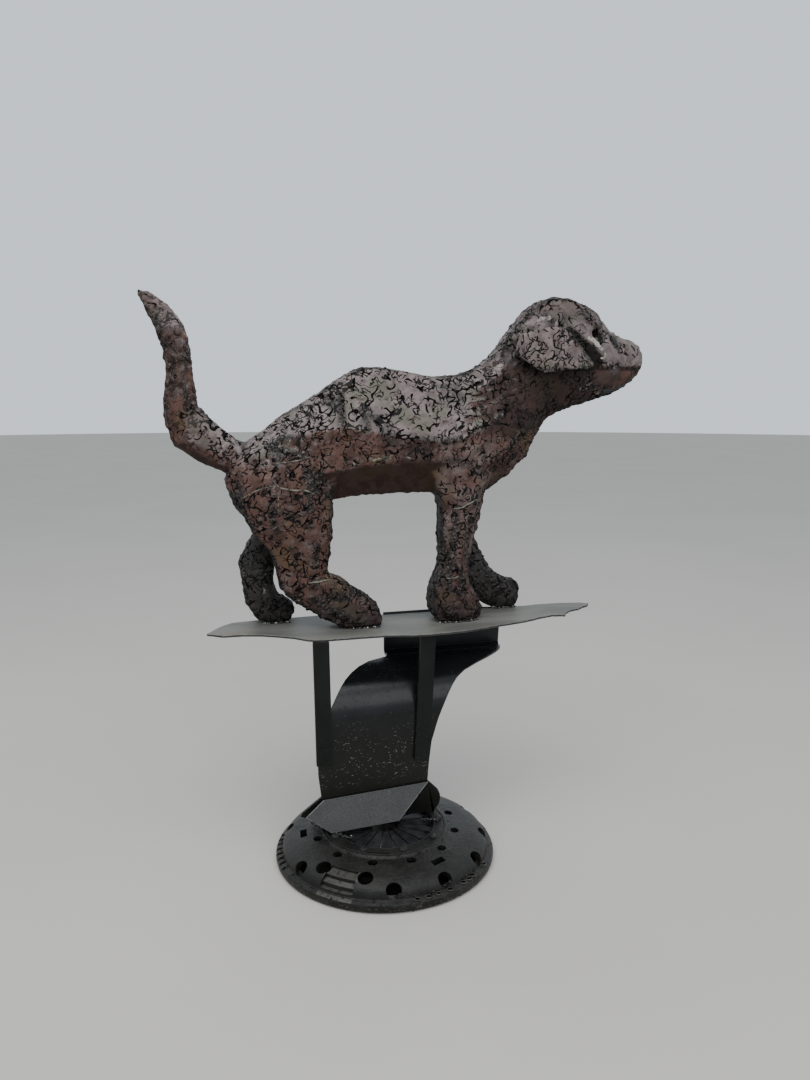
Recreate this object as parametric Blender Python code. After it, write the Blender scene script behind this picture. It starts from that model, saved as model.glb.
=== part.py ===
"""Scrap metal dog on a stand: a walking dog welded from scrap, on a torch-cut tray that a bent
black panel and two flat bars carry above a car clutch cover. Metres, +Z up. The nose points
to +X, and the dog's right side faces -Y."""

import math

import bmesh
import bpy
from mathutils import Matrix, Vector

GAP = 0.0003  # between pieces that touch
SHARP_ANGLE = math.radians(28)

# Where the stand's axis is, so that the whole object is centred over the origin.
BASE_X = -0.05475
BASE_Y = -0.00175

# Clutch
COVER_RADIUS = 0.135
COVER_LIP_RADIUS = 0.060
COVER_TOP = 0.0368
COVER_WALL = 0.0035
FLANGE_INNER_RADIUS = 0.114
TURNED_STEPS = 48
SHOULDER_HOLES = (15, 43, 72, 101, 130, 159, 204, 217, 245, 261, 290, 318, 346)  # degrees
HIGH_HOLES = (217, 245)  # those that sit further up the shoulder
SHOULDER_HOLE_RADIUS = 0.0082
TOP_SLOTS = 12
TOP_SLOT = (0.0075, 0.0095)
TOP_SLOT_CIRCLE = 0.087
LONG_SLOTS = 3
LONG_SLOT = (0.0075, 0.017)
LONG_SLOT_CIRCLE = 0.101
RIM_NOTCHES = 8
RIM_HOLES = 6
PRESSURE_RING_TOP = 0.0245
SPRING_FINGERS = 18
RIVETS = 9
RIVET_CIRCLE = 0.068
RIVET_RADIUS = 0.0045
FIRST_RIVET = 235  # degrees

# Panel, bars and gussets
SHEET = 0.003
PANEL_FRONT_Y = 0.010
PANEL_BEND_RADIUS = 0.066
PANEL_FOOT_Z = 0.0745
PANEL_BEND_Z = 0.163
PANEL_BEND_ANGLE = math.radians(105)
PANEL_BEND_STEPS = 12
SHELF_BACK_Y = 0.104
SHELF_DROP = 0.002
FLANGE_TOP_Z = 0.2795
PANEL_FOOT_SLOPE = 0.058  # rise for each metre of width
PANEL_CORNER_DROP = 0.0030  # the flange's corner is cut down under the left front paw
BAR_WIDTH = 0.0195
BAR_THICKNESS = 0.005
GUSSET_THICKNESS = 0.0035

# Tray
TRAY_TOP = 0.277
TRAY_THICKNESS = 0.0025

# Dog
DOG_MID_Y = 0.0865
LEG_OFFSET = 0.0260  # from the dog's mid plane to the middle of a leg
FACET_EDGE = 0.0022  # how wide the worn edge between two planes is
EAR_THICKNESS = 0.005
EAR_HEIGHT = 0.060
LEFT_EAR_FORWARD = 0.012

BLACK = (0.016, 0.017, 0.018)
GREY = (0.075, 0.077, 0.080)
MAROON = (0.120, 0.052, 0.040)


def clear_scene():
    for obj in list(bpy.data.objects):
        bpy.data.objects.remove(obj, do_unlink=True)


def painted(obj, name, colour, roughness, metallic):
    material = bpy.data.materials.new(name)
    material.use_nodes = True
    shader = material.node_tree.nodes["Principled BSDF"]
    shader.inputs["Base Color"].default_value = (*colour, 1.0)
    shader.inputs["Roughness"].default_value = roughness
    shader.inputs["Metallic"].default_value = metallic
    obj.data.materials.clear()
    obj.data.materials.append(material)
    return obj


def object_of(name, mesh_data):
    """An object of a bmesh, with its faces turned outwards."""
    bmesh.ops.recalc_face_normals(mesh_data, faces=mesh_data.faces)
    mesh = bpy.data.meshes.new(name)
    mesh_data.to_mesh(mesh)
    mesh_data.free()
    obj = bpy.data.objects.new(name, mesh)
    bpy.context.scene.collection.objects.link(obj)
    return obj


def lofted(name, rings, closed=False):
    """A skin over rings of the same number of points. Open lofts get a cap at each end."""
    shape = bmesh.new()
    loops = [[shape.verts.new(point) for point in ring] for ring in rings]
    pairs = list(zip(loops, loops[1:]))
    if closed:
        pairs.append((loops[-1], loops[0]))
    for first, second in pairs:
        count = len(first)
        for i in range(count):
            j = (i + 1) % count
            shape.faces.new((first[i], first[j], second[j], second[i]))
    if not closed:
        shape.faces.new(loops[0])
        shape.faces.new(loops[-1])
    return object_of(name, shape)


def smooth(obj):
    """Shades a round piece smooth between its sharp edges."""
    obj.data.shade_smooth()
    obj.data.set_sharp_from_angle(angle=SHARP_ANGLE)
    return obj


def turned(name, profile, steps=TURNED_STEPS):
    """A closed (radius, height) profile turned about Z."""
    rings = []
    for step in range(steps):
        angle = 2 * math.pi * step / steps
        rings.append([(r * math.cos(angle), r * math.sin(angle), z) for r, z in profile])
    return lofted(name, rings, closed=True)


def plate(name, outline, front, back):
    """A flat plate: the outline's points carried to the front and to the back face."""
    return lofted(name, [[front(point) for point in outline], [back(point) for point in outline]])


def block(name, size, centre, turn=0.0, tilt=0.0):
    """A box, tilted about its own Y and then turned about Z."""
    shape = bmesh.new()
    bmesh.ops.create_cube(shape, size=1.0)
    place = Matrix.Translation(centre) @ Matrix.Rotation(turn, 4, "Z") @ Matrix.Rotation(tilt, 4, "Y")
    bmesh.ops.transform(shape, matrix=place @ Matrix.Diagonal((*size, 1.0)), verts=shape.verts)
    return object_of(name, shape)


def rod(name, radius, length, centre, turn, tilt, sides=12, squash=1.0):
    """A round bar about its own Z, tilted about Y and then turned about Z."""
    shape = bmesh.new()
    bmesh.ops.create_cone(
        shape, cap_ends=True, segments=sides, radius1=radius, radius2=radius, depth=length
    )
    place = Matrix.Translation(centre) @ Matrix.Rotation(turn, 4, "Z") @ Matrix.Rotation(tilt, 4, "Y")
    bmesh.ops.transform(shape, matrix=place @ Matrix.Diagonal((1.0, squash, 1.0, 1.0)), verts=shape.verts)
    return object_of(name, shape)


def combined(target, tools, operation):
    """Joins the tools to the target, or cuts them from it, and removes them."""
    for tool in tools:
        modifier = target.modifiers.new(operation.title(), "BOOLEAN")
        modifier.operation = operation
        modifier.solver = "EXACT"
        modifier.object = tool
    graph = bpy.context.evaluated_depsgraph_get()
    target.data = bpy.data.meshes.new_from_object(target.evaluated_get(graph))
    target.modifiers.clear()
    for tool in tools:
        bpy.data.objects.remove(tool, do_unlink=True)
    return target


def joined(name, pieces):
    """One object of pieces that don't touch each other, for a single cut."""
    shape = bmesh.new()
    for piece in pieces:
        shape.from_mesh(piece.data)
        bpy.data.objects.remove(piece, do_unlink=True)
    return object_of(name, shape)


def eased(points, at):
    """A smooth curve through (position, value) points, read at one position."""
    if at <= points[0][0]:
        return points[0][1]
    for i in range(len(points) - 1):
        (a, value_a), (b, value_b) = points[i], points[i + 1]
        if at > b:
            continue
        before, after = points[max(i - 1, 0)], points[min(i + 2, len(points) - 1)]
        slope_a = (value_b - before[1]) / (b - before[0]) if b != before[0] else 0.0
        slope_b = (after[1] - value_a) / (after[0] - a) if after[0] != a else 0.0
        t, span = (at - a) / (b - a), b - a
        return (
            (2 * t**3 - 3 * t**2 + 1) * value_a
            + (t**3 - 2 * t**2 + t) * span * slope_a
            + (3 * t**2 - 2 * t**3) * value_b
            + (t**3 - t**2) * span * slope_b
        )
    return points[-1][1]


# ---------------------------------------------------------------- the clutch


def on_circle(radius, degrees, height):
    """A point of a circle about the clutch's axis."""
    turn = math.radians(degrees)
    return (radius * math.cos(turn), radius * math.sin(turn), height)


def clutch_cover():
    """The pressed cover: a flange on the floor, a rim, a domed shoulder and a lip at the top."""
    outside = [
        (FLANGE_INNER_RADIUS, 0.0), (0.1268, 0.0), (0.1332, 0.0028), (COVER_RADIUS, 0.0072),
        (COVER_RADIUS, 0.0112), (0.1305, 0.0176), (0.1228, 0.0240), (0.1120, 0.0288), (0.0980, 0.0320),
        (0.0800, 0.0343), (0.0765, COVER_TOP), (COVER_LIP_RADIUS, COVER_TOP),
    ]
    inside = [
        (COVER_LIP_RADIUS, COVER_TOP - COVER_WALL), (0.0760, COVER_TOP - COVER_WALL), (0.0800, 0.0308),
        (0.1065, 0.0264), (0.1190, 0.0212), (0.1268, 0.0146), (0.1300, 0.0080),
        (0.1260, COVER_WALL), (FLANGE_INNER_RADIUS, COVER_WALL),
    ]
    cover = turned("clutch_cover", outside + inside)
    cutters = []
    shoulder_slope = math.radians(38)
    for degrees in SHOULDER_HOLES:
        radius, height = (0.1135, 0.0275) if degrees in HIGH_HOLES else (0.1225, 0.0240)
        cutters.append(rod("hole", SHOULDER_HOLE_RADIUS, 0.017, on_circle(radius, degrees, height),
                           math.radians(degrees), shoulder_slope, 10, 1.1))
    for i in range(TOP_SLOTS):
        degrees = 7 + 360 * i / TOP_SLOTS
        cutters.append(block("slot", (*TOP_SLOT, 0.012), on_circle(TOP_SLOT_CIRCLE, degrees, 0.032),
                             math.radians(degrees)))
    for i in range(LONG_SLOTS):
        degrees = 54 + 360 * i / LONG_SLOTS
        cutters.append(block("long_slot", (*LONG_SLOT, 0.012), on_circle(LONG_SLOT_CIRCLE, degrees, 0.030),
                             math.radians(degrees)))
    for i in range(RIM_NOTCHES):
        degrees = 146 + 7.0 * i
        cutters.append(block("notch", (0.012, 0.006, 0.0052), on_circle(COVER_RADIUS, degrees, 0.0094),
                             math.radians(degrees)))
    for i in range(RIM_HOLES):
        degrees = 271 + 7.5 * i
        cutters.append(rod("rim_hole", 0.0021, 0.014, on_circle(0.134, degrees, 0.0118),
                           math.radians(degrees), math.radians(75), 6))
    return smooth(combined(cover, [joined("cover_cutters", cutters)], "DIFFERENCE"))


def pressure_ring():
    """The cast ring inside the cover, on the flange."""
    foot = COVER_WALL + GAP
    profile = [
        (0.077, foot), (0.1235, foot), (0.1235, 0.0095), (0.1155, 0.0130), (0.1125, 0.0195),
        (0.104, PRESSURE_RING_TOP), (0.077, PRESSURE_RING_TOP),
    ]
    return smooth(turned("pressure_ring", profile, 36))


def diaphragm_spring():
    """A shallow cone of spring steel, slotted into fingers from its middle."""
    seat = PRESSURE_RING_TOP + GAP
    thickness = 0.0025
    under = [(0.018, 0.0325), (0.074, 0.0268), (0.080, seat), (0.091, seat)]
    over = [(radius, height + thickness) for radius, height in reversed(under)]
    spring = turned("diaphragm_spring", under + over, 36)
    cutters = []
    for i in range(SPRING_FINGERS):
        degrees = 360 * (i + 0.5) / SPRING_FINGERS
        cutters.append(block("finger_slot", (0.040, 0.0028, 0.020), on_circle(0.034, degrees, 0.030),
                             math.radians(degrees)))
    return smooth(combined(spring, [joined("spring_cutters", cutters)], "DIFFERENCE"))


def rivet(number):
    """A low round rivet head on the cover's lip."""
    middle = on_circle(RIVET_CIRCLE, FIRST_RIVET + 360 * (number - 1) / RIVETS, COVER_TOP + GAP)
    sides = 8
    rings = []
    for share, rise in ((1.0, 0.0), (1.0, 0.0012), (0.72, 0.0026), (0.28, 0.0031)):
        ring_points = []
        for step in range(sides):
            angle = 2 * math.pi * step / sides
            ring_points.append((
                middle[0] + RIVET_RADIUS * share * math.cos(angle),
                middle[1] + RIVET_RADIUS * share * math.sin(angle),
                middle[2] + rise,
            ))
        rings.append(ring_points)
    return smooth(lofted(f"rivet_{number}", rings))


# ---------------------------------------------------------------- the stand


def panel_spine():
    """The sheet's front face seen from the side: (distance along the sheet, y, z, normal)."""
    spine = []
    straight = PANEL_BEND_Z - PANEL_FOOT_Z
    for step in range(4):
        along = straight * step / 3
        spine.append((along, PANEL_FRONT_Y, PANEL_FOOT_Z + along, (-1.0, 0.0)))
    for step in range(1, PANEL_BEND_STEPS + 1):
        angle = PANEL_BEND_ANGLE * step / PANEL_BEND_STEPS
        spine.append((
            straight + PANEL_BEND_RADIUS * angle,
            PANEL_FRONT_Y + PANEL_BEND_RADIUS * (1 - math.cos(angle)),
            PANEL_BEND_Z + PANEL_BEND_RADIUS * math.sin(angle),
            (-math.cos(angle), math.sin(angle)),
        ))
    bend_along, bend_y, bend_z, upward = spine[-1]
    crease_y, crease_z = SHELF_BACK_Y - 0.004, bend_z - SHELF_DROP
    spine.append((bend_along + crease_y - bend_y, crease_y, crease_z, upward))
    crease_along = spine[-1][0]
    low = crease_z + 0.004
    spine.append((crease_along + 0.005, SHELF_BACK_Y, low, (-0.75, 0.66)))
    for z in ((low + FLANGE_TOP_Z) / 2, FLANGE_TOP_Z):
        spine.append((crease_along + 0.005 + z - low, SHELF_BACK_Y, z, (-1.0, 0.0)))
    return spine


def support_panel():
    """One sheet: upright, bent back under the tray and turned up behind it, its sides cut to an ogee."""
    left = ((0.0, -0.0768), (0.018, -0.0800), (0.052, -0.0811), (0.085, -0.0775), (0.118, -0.0605),
            (0.148, -0.0417), (0.169, -0.0206), (0.180, -0.0040), (0.189, 0.0190), (0.222, 0.0248),
            (0.275, 0.0240))
    right = ((0.0, 0.0580), (0.051, 0.0622), (0.084, 0.0705), (0.122, 0.0899), (0.145, 0.1097),
             (0.161, 0.1377), (0.1715, 0.1572), (0.188, 0.1770), (0.222, 0.1875), (0.275, 0.1885))
    rows = []
    spine = panel_spine()
    for along, y, z, (normal_y, normal_z) in spine:
        x_left, x_right = eased(left, along), eased(right, along)
        columns = [x_left + (x_right - x_left) * share for share in (0.0, 1 / 3, 2 / 3, 1.0)]
        row = []
        for depth, order in ((0.0, columns), (SHEET, columns[::-1])):
            for x in order:
                rise = 0.0
                if along == 0.0:
                    rise = PANEL_FOOT_SLOPE * x
                elif along == spine[-1][0] and x == x_right:
                    rise = -PANEL_CORNER_DROP
                row.append((x, y - normal_y * depth, z - normal_z * depth + rise))
        rows.append(row)
    return lofted("support_panel", rows)


def bar(name, x, lean, foot_z):
    """A flat bar, welded by its lower end on the panel's face and by its top under the tray."""
    back = PANEL_FRONT_Y - GAP
    top = TRAY_TOP - TRAY_THICKNESS - GAP
    rings = []
    for z, centre in ((foot_z, x), (top, x + lean)):
        low, high = centre - BAR_WIDTH / 2, centre + BAR_WIDTH / 2
        front = back - BAR_THICKNESS
        rings.append([(low, front, z), (high, front, z), (high, back, z), (low, back, z)])
    return lofted(name, rings)


def front_gusset():
    """A cut-off parallelogram that leans back from the clutch to the panel's foot."""
    corners = [Vector(p) for p in (
        (-0.0753, 0.0097, 0.0721), (0.0584, 0.0097, 0.0799), (0.0149, -0.0102, 0.0427),
        (-0.0691, -0.0101, 0.0380), (-0.0987, 0.0013, 0.0562),
    )]
    normal = (corners[1] - corners[0]).cross(corners[3] - corners[0]).normalized()
    if normal.y > 0:
        normal = -normal
    shift = Vector((0.0, -0.0006, 0.0))
    outline = [tuple(corner + shift) for corner in corners]
    ahead = normal * GUSSET_THICKNESS
    return plate("front_gusset", outline, lambda p: Vector(p) + ahead, lambda p: Vector(p))


def rear_gusset():
    """The upright plate behind the panel's foot, with a round right end."""
    foot = COVER_TOP + GAP
    outline = [
        (-0.068, foot), (-0.1034, 0.0520), (-0.1010, 0.0565), (-0.0765, 0.0745), (-0.070, 0.094),
        (0.052, 0.100), (0.0600, 0.0795),
    ]
    centre_x, centre_z, radius = 0.0560, 0.0550, 0.0205
    for step in range(7):
        angle = math.radians(52 - 19 * step)
        outline.append((centre_x + radius * math.cos(angle), centre_z + radius * math.sin(angle)))
    outline.append((0.0690, foot))
    face = PANEL_FRONT_Y + SHEET + GAP
    rear = face + GUSSET_THICKNESS
    return plate(
        "rear_gusset", outline, lambda p: (p[0], face, p[1]), lambda p: (p[0], rear, p[1])
    )


def tray_plate():
    """The sheet under the dog's feet, cut by torch: long, narrow and pointed at both ends."""
    front_edge = [
        (-0.206, 0.067), (-0.187, 0.053), (-0.164, 0.052), (-0.141, 0.046), (-0.121, 0.035),
        (-0.105, 0.025), (-0.090, 0.010), (-0.077, 0.0050), (-0.060, 0.0050), (-0.041, 0.0050),
        (-0.018, 0.0050), (0.000, 0.0045), (0.022, 0.0015), (0.038, -0.0030), (0.058, -0.0040),
        (0.082, -0.0025), (0.106, 0.0005), (0.131, 0.0070), (0.153, 0.0140), (0.176, 0.0190),
        (0.196, 0.0250), (0.216, 0.0340), (0.238, 0.0420), (0.251, 0.0400), (0.256, 0.0375),
        (0.262, 0.0480), (0.275, 0.0600), (0.289, 0.0650), (0.301, 0.0750), (0.310, 0.0800),
    ]
    back_edge = [
        (0.3165, 0.0905), (0.305, 0.0985), (0.280, 0.1030), (0.251, 0.1045), (0.222, 0.1010),
        (0.192, 0.1030), (0.024, 0.1030), (0.012, 0.1120), (-0.025, 0.1180), (-0.061, 0.1210),
        (-0.100, 0.1185), (-0.137, 0.1180), (-0.173, 0.1125), (-0.189, 0.0960),
    ]
    return plate(
        "tray_plate", front_edge + back_edge,
        lambda p: (p[0], p[1], TRAY_TOP), lambda p: (p[0], p[1], TRAY_TOP - TRAY_THICKNESS),
    )


# ---------------------------------------------------------------- the dog

# A ring of the dog runs from its upper point to its lower point in the side view, and stands
# out to both sides by a half width at each of these shares of the way down.
LIMB_SHARES = (0.0, 0.28, 0.72, 1.0)
LIMB_WIDTHS = (0.50, 1.0, 1.0, 0.55)
PAW_WIDTHS = (0.45, 0.9, 1.0, 0.80)
NECK_SHARES = (0.0, 0.16, 0.46, 0.76, 1.0)


def ring(upper, lower, widths, shares, middle):
    """Points around one section, first down the right side and then up the left."""
    sides = []
    for sign in (-1, 1):
        side = []
        for share, width in zip(shares, widths):
            x = upper[0] + (lower[0] - upper[0]) * share
            z = upper[1] + (lower[1] - upper[1]) * share
            side.append((x, middle + sign * width, z))
        sides.append(side)
    return sides[0] + sides[1][::-1]


def body_rings():
    """Rump, belly and chest. The flank's crease and the belly's break run along the body, so
    each section has its own shares for them."""
    stations = [
        # upper point, lower point, (ridge edge, crease, break), half widths from the ridge down
        ((-0.155, 0.503), (-0.176, 0.462), (0.16, 0.46, 0.76), (0.010, 0.020, 0.025, 0.023, 0.013)),
        ((-0.134, 0.5165), (-0.166, 0.432), (0.12, 0.34, 0.72), (0.012, 0.024, 0.039, 0.041, 0.026)),
        ((-0.104, 0.540), (-0.142, 0.402), (0.07, 0.19, 0.60), (0.012, 0.022, 0.040, 0.048, 0.030)),
        ((-0.070, 0.559), (-0.094, 0.415), (0.07, 0.27, 0.65), (0.012, 0.022, 0.046, 0.050, 0.024)),
        ((-0.036, 0.582), (-0.048, 0.437), (0.07, 0.40, 0.74), (0.012, 0.022, 0.051, 0.049, 0.018)),
        ((-0.011, 0.596), (-0.012, 0.441), (0.08, 0.48, 0.75), (0.013, 0.023, 0.051, 0.048, 0.017)),
        ((0.014, 0.597), (0.018, 0.442), (0.08, 0.53, 0.75), (0.013, 0.023, 0.051, 0.048, 0.017)),
        ((0.042, 0.593), (0.048, 0.443), (0.08, 0.56, 0.725), (0.013, 0.022, 0.050, 0.049, 0.018)),
        ((0.082, 0.585), (0.086, 0.443), (0.10, 0.56, 0.71), (0.013, 0.022, 0.050, 0.051, 0.022)),
        ((0.115, 0.588), (0.119, 0.440), (0.13, 0.50, 0.74), (0.014, 0.026, 0.049, 0.052, 0.032)),
        ((0.143, 0.5965), (0.149, 0.443), (0.15, 0.47, 0.76), (0.014, 0.028, 0.046, 0.050, 0.029)),
    ]
    return [
        ring(up, low, widths, (0.0, *shares, 1.0), DOG_MID_Y)
        for up, low, shares, widths in stations
    ]


def neck_rings():
    """Neck, skull, stop, muzzle and nose."""
    stations = [
        ((0.164, 0.613), (0.179, 0.463), (0.014, 0.028, 0.042, 0.045, 0.025)),
        ((0.181, 0.634), (0.205, 0.486), (0.014, 0.028, 0.038, 0.039, 0.021)),
        ((0.196, 0.653), (0.221, 0.514), (0.015, 0.029, 0.037, 0.034, 0.019)),
        ((0.2095, 0.668), (0.233, 0.534), (0.017, 0.031, 0.037, 0.033, 0.019)),
        ((0.225, 0.681), (0.252, 0.543), (0.019, 0.034, 0.038, 0.033, 0.019)),
        ((0.243, 0.687), (0.272, 0.550), (0.021, 0.036, 0.038, 0.033, 0.019)),
        ((0.262, 0.685), (0.291, 0.555), (0.022, 0.036, 0.038, 0.032, 0.018)),
        ((0.280, 0.678), (0.309, 0.560), (0.021, 0.034, 0.036, 0.030, 0.017)),
        ((0.299, 0.669), (0.324, 0.565), (0.019, 0.029, 0.032, 0.027, 0.016)),
        ((0.311, 0.658), (0.335, 0.569), (0.016, 0.025, 0.028, 0.025, 0.015)),
        ((0.321, 0.647), (0.343, 0.573), (0.013, 0.021, 0.026, 0.023, 0.014)),
        ((0.338, 0.640), (0.351, 0.578), (0.012, 0.019, 0.023, 0.021, 0.013)),
        ((0.356, 0.634), (0.361, 0.584), (0.012, 0.018, 0.021, 0.019, 0.012)),
        ((0.369, 0.627), (0.367, 0.591), (0.010, 0.016, 0.018, 0.016, 0.010)),
        ((0.376, 0.617), (0.374, 0.600), (0.006, 0.009, 0.011, 0.010, 0.006)),
    ]
    return [ring(up, low, widths, NECK_SHARES, DOG_MID_Y) for up, low, widths in stations]


def dog_trunk():
    """Rump, belly, chest, neck and head in one skin, from the tail's root to the nose."""
    return lofted("dog", body_rings() + neck_rings())


def limb(name, stations, side, paw_from):
    """A leg: each station has its front point, its back point and its half width."""
    middle = DOG_MID_Y + side * LEG_OFFSET
    rings = []
    for i, (front, back, width) in enumerate(stations):
        shares = PAW_WIDTHS if i >= paw_from else LIMB_WIDTHS
        rings.append(ring(front, back, [width * s for s in shares], LIMB_SHARES, middle))
    return lofted(name, rings)


def legs():
    """Right legs forward and back as they stand on the tray, then the left ones in mid step."""
    ground = TRAY_TOP + GAP
    right_hind = [
        ((-0.060, 0.490), (-0.138, 0.500), 0.021),
        ((-0.052, 0.462), (-0.160, 0.468), 0.025),
        ((-0.051, 0.437), (-0.162, 0.436), 0.026),
        ((-0.052, 0.412), (-0.147, 0.401), 0.023),
        ((-0.053, 0.388), (-0.127, 0.380), 0.020),
        ((-0.057, 0.364), (-0.120, 0.356), 0.018),
        ((-0.059, 0.350), (-0.116, 0.332), 0.017),
        ((-0.0565, 0.3440), (-0.107, 0.3215), 0.018),
        ((-0.0425, 0.3410), (-0.096, 0.312), 0.019),
        ((-0.0235, 0.3255), (-0.062, 0.2900), 0.019),
        ((-0.004, 0.3125), (-0.036, ground), 0.020),
        ((0.0065, 0.2985), (-0.010, ground), 0.019),
        ((0.0115, 0.2850), (0.006, ground), 0.014),
    ]
    right_front = [
        ((0.160, 0.520), (0.072, 0.510), 0.021),
        ((0.157, 0.480), (0.073, 0.475), 0.026),
        ((0.144, 0.443), (0.083, 0.440), 0.026),
        ((0.141, 0.427), (0.0870, 0.424), 0.024),
        ((0.137, 0.410), (0.0870, 0.406), 0.023),
        ((0.1295, 0.380), (0.0870, 0.378), 0.021),
        ((0.1235, 0.350), (0.0875, 0.352), 0.019),
        ((0.125, 0.326), (0.0785, 0.3265), 0.020),
        ((0.136, 0.309), (0.0755, 0.306), 0.022),
        ((0.144, 0.291), (0.0765, 0.289), 0.022),
        ((0.140, ground), (0.086, ground), 0.019),
    ]
    left_hind = [
        ((-0.062, 0.490), (-0.138, 0.500), 0.021),
        ((-0.062, 0.455), (-0.160, 0.462), 0.025),
        ((-0.077, 0.425), (-0.154, 0.428), 0.025),
        ((-0.093, 0.401), (-0.136, 0.401), 0.021),
        ((-0.107, 0.378), (-0.149, 0.379), 0.018),
        ((-0.1175, 0.352), (-0.161, 0.354), 0.017),
        ((-0.1205, 0.330), (-0.157, 0.328), 0.016),
        ((-0.114, 0.3115), (-0.154, 0.304), 0.017),
        ((-0.101, 0.3045), (-0.142, 0.283), 0.018),
        ((-0.0950, 0.2985), (-0.122, ground), 0.018),
        ((-0.0935, 0.2880), (-0.102, ground), 0.014),
    ]
    left_front = [
        ((0.158, 0.520), (0.080, 0.510), 0.020),
        ((0.161, 0.475), (0.082, 0.470), 0.025),
        ((0.150, 0.430), (0.104, 0.430), 0.024),
        ((0.146, 0.395), (0.1065, 0.390), 0.020),
        ((0.150, 0.374), (0.109, 0.362), 0.018),
        ((0.162, 0.351), (0.119, 0.331), 0.018),
        ((0.177, 0.327), (0.142, 0.300), 0.018),
        ((0.196, 0.316), (0.170, 0.281), 0.019),
        ((0.2125, 0.3125), (0.190, ground), 0.019),
        ((0.2175, 0.3030), (0.208, ground), 0.015),
    ]
    return [
        limb("right_hind_leg", right_hind, -1, 9),
        limb("right_front_leg", right_front, -1, 7),
        limb("left_hind_leg", left_hind, 1, 8),
        limb("left_front_leg", left_front, 1, 7),
    ]


def tail():
    stations = [
        ((-0.130, 0.505), (-0.150, 0.470), 0.017),
        ((-0.149, 0.503), (-0.178, 0.473), 0.017),
        ((-0.169, 0.515), (-0.206, 0.486), 0.017),
        ((-0.190, 0.534), (-0.233, 0.505), 0.017),
        ((-0.205, 0.549), (-0.242, 0.531), 0.016),
        ((-0.208, 0.572), (-0.243, 0.558), 0.015),
        ((-0.2105, 0.597), (-0.238, 0.590), 0.015),
        ((-0.2125, 0.625), (-0.241, 0.616), 0.014),
        ((-0.2185, 0.646), (-0.247, 0.635), 0.013),
        ((-0.2325, 0.664), (-0.2545, 0.653), 0.011),
        ((-0.251, 0.677), (-0.262, 0.668), 0.007),
        ((-0.266, 0.683), (-0.2665, 0.678), 0.0025),
    ]
    rings = []
    for upper, lower, width in stations:
        widths = [width * share for share in LIMB_WIDTHS]
        rings.append(ring(upper, lower, widths, LIMB_SHARES, DOG_MID_Y))
    return lofted("tail", rings)


def head_features():
    """Brow ridges, cheek plates and the nose, which stand a little proud of the head."""
    features = []
    for side in (-1, 1):
        brow = [
            ((0.277, 0.664), (0.273, 0.649), 0.0065), ((0.289, 0.662), (0.286, 0.651), 0.0070),
            ((0.302, 0.655), (0.299, 0.648), 0.0050),
        ]
        middle = DOG_MID_Y + side * 0.0270
        rings = [ring(up, low, [w] * 4, LIMB_SHARES, middle) for up, low, w in brow]
        features.append(lofted("brow", rings))
        cheek = [
            ((0.262, 0.640), (0.266, 0.624), 0.0060), ((0.284, 0.630), (0.286, 0.616), 0.0075),
            ((0.305, 0.619), (0.304, 0.606), 0.0060),
        ]
        rings = []
        for (up, low, width), reach in zip(cheek, (0.0330, 0.0300, 0.0245)):
            rings.append(ring(up, low, [width * 0.6, width, width, width * 0.6], LIMB_SHARES,
                              DOG_MID_Y + side * reach))
        features.append(lofted("cheek", rings))
    return features


def eye_sockets():
    sockets = []
    for side in (-1, 1):
        centre = (0.292, DOG_MID_Y + side * 0.0325, 0.6410)
        sockets.append(rod("eye", 0.0062, 0.012, centre, math.radians(90 * side - 14 * side),
                           math.radians(90), 8))
    return sockets


def toe_clefts():
    """Shallow cuts between the toes, down the front of each paw."""
    cuts = []
    for x, z, side in ((0.222, 0.296, 1), (0.146, 0.288, -1), (0.014, 0.286, -1), (-0.088, 0.287, 1)):
        for toe in (-0.5, 0.5):
            y = DOG_MID_Y + side * LEG_OFFSET + toe * 0.013
            cuts.append(block("cleft", (0.016, 0.0022, 0.030), (x, y, z)))
    return cuts


def ear(name, side, grow=0.0):
    """A bent flap: a wide panel that flares from the skull and a strip turned in at its front.

    Each corner has its place in the side view and its reach from the dog's mid plane. The left
    ear lies a little further forward."""
    corners = {
        "back_top": (0.183, 0.6360, 0.0415), "top": (0.208, 0.6430, 0.0435),
        "front_top": (0.2275, 0.6475, 0.0445), "fold_top": (0.249, 0.6450, 0.0450),
        "strip_end": (0.288, 0.6010, 0.0440), "fold_low": (0.274, 0.5965, 0.0500),
        "low_front": (0.248, 0.5955, 0.0520), "low": (0.215, 0.5905, 0.0520),
        "back_low": (0.181, 0.6130, 0.0460), "middle": (0.226, 0.6180, 0.0500),
    }
    forward = LEFT_EAR_FORWARD if side > 0 else 0.0
    centre_x, centre_z = 0.232, 0.619
    spread = 1.0 + grow / (EAR_HEIGHT / 2)
    order = list(corners)
    shape = bmesh.new()
    layers = []
    for outer in (True, False):
        layer = {}
        for key, (x, z, reach) in corners.items():
            depth = reach + grow if outer else reach - EAR_THICKNESS - grow
            layer[key] = shape.verts.new((
                centre_x + (x - centre_x) * spread + forward,
                DOG_MID_Y + side * depth,
                centre_z + (z - centre_z) * spread,
            ))
        panel = [key for key in order if key not in ("strip_end", "middle")]
        for a, b in zip(panel, panel[1:] + panel[:1]):
            shape.faces.new((layer[a], layer[b], layer["middle"]))
        shape.faces.new((layer["fold_top"], layer["strip_end"], layer["fold_low"]))
        layers.append(layer)
    rim = [key for key in order if key != "middle"]
    outside, inside = layers
    for a, b in zip(rim, rim[1:] + rim[:1]):
        shape.faces.new((outside[a], outside[b], inside[b], inside[a]))
    return object_of(name, shape)


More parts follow.
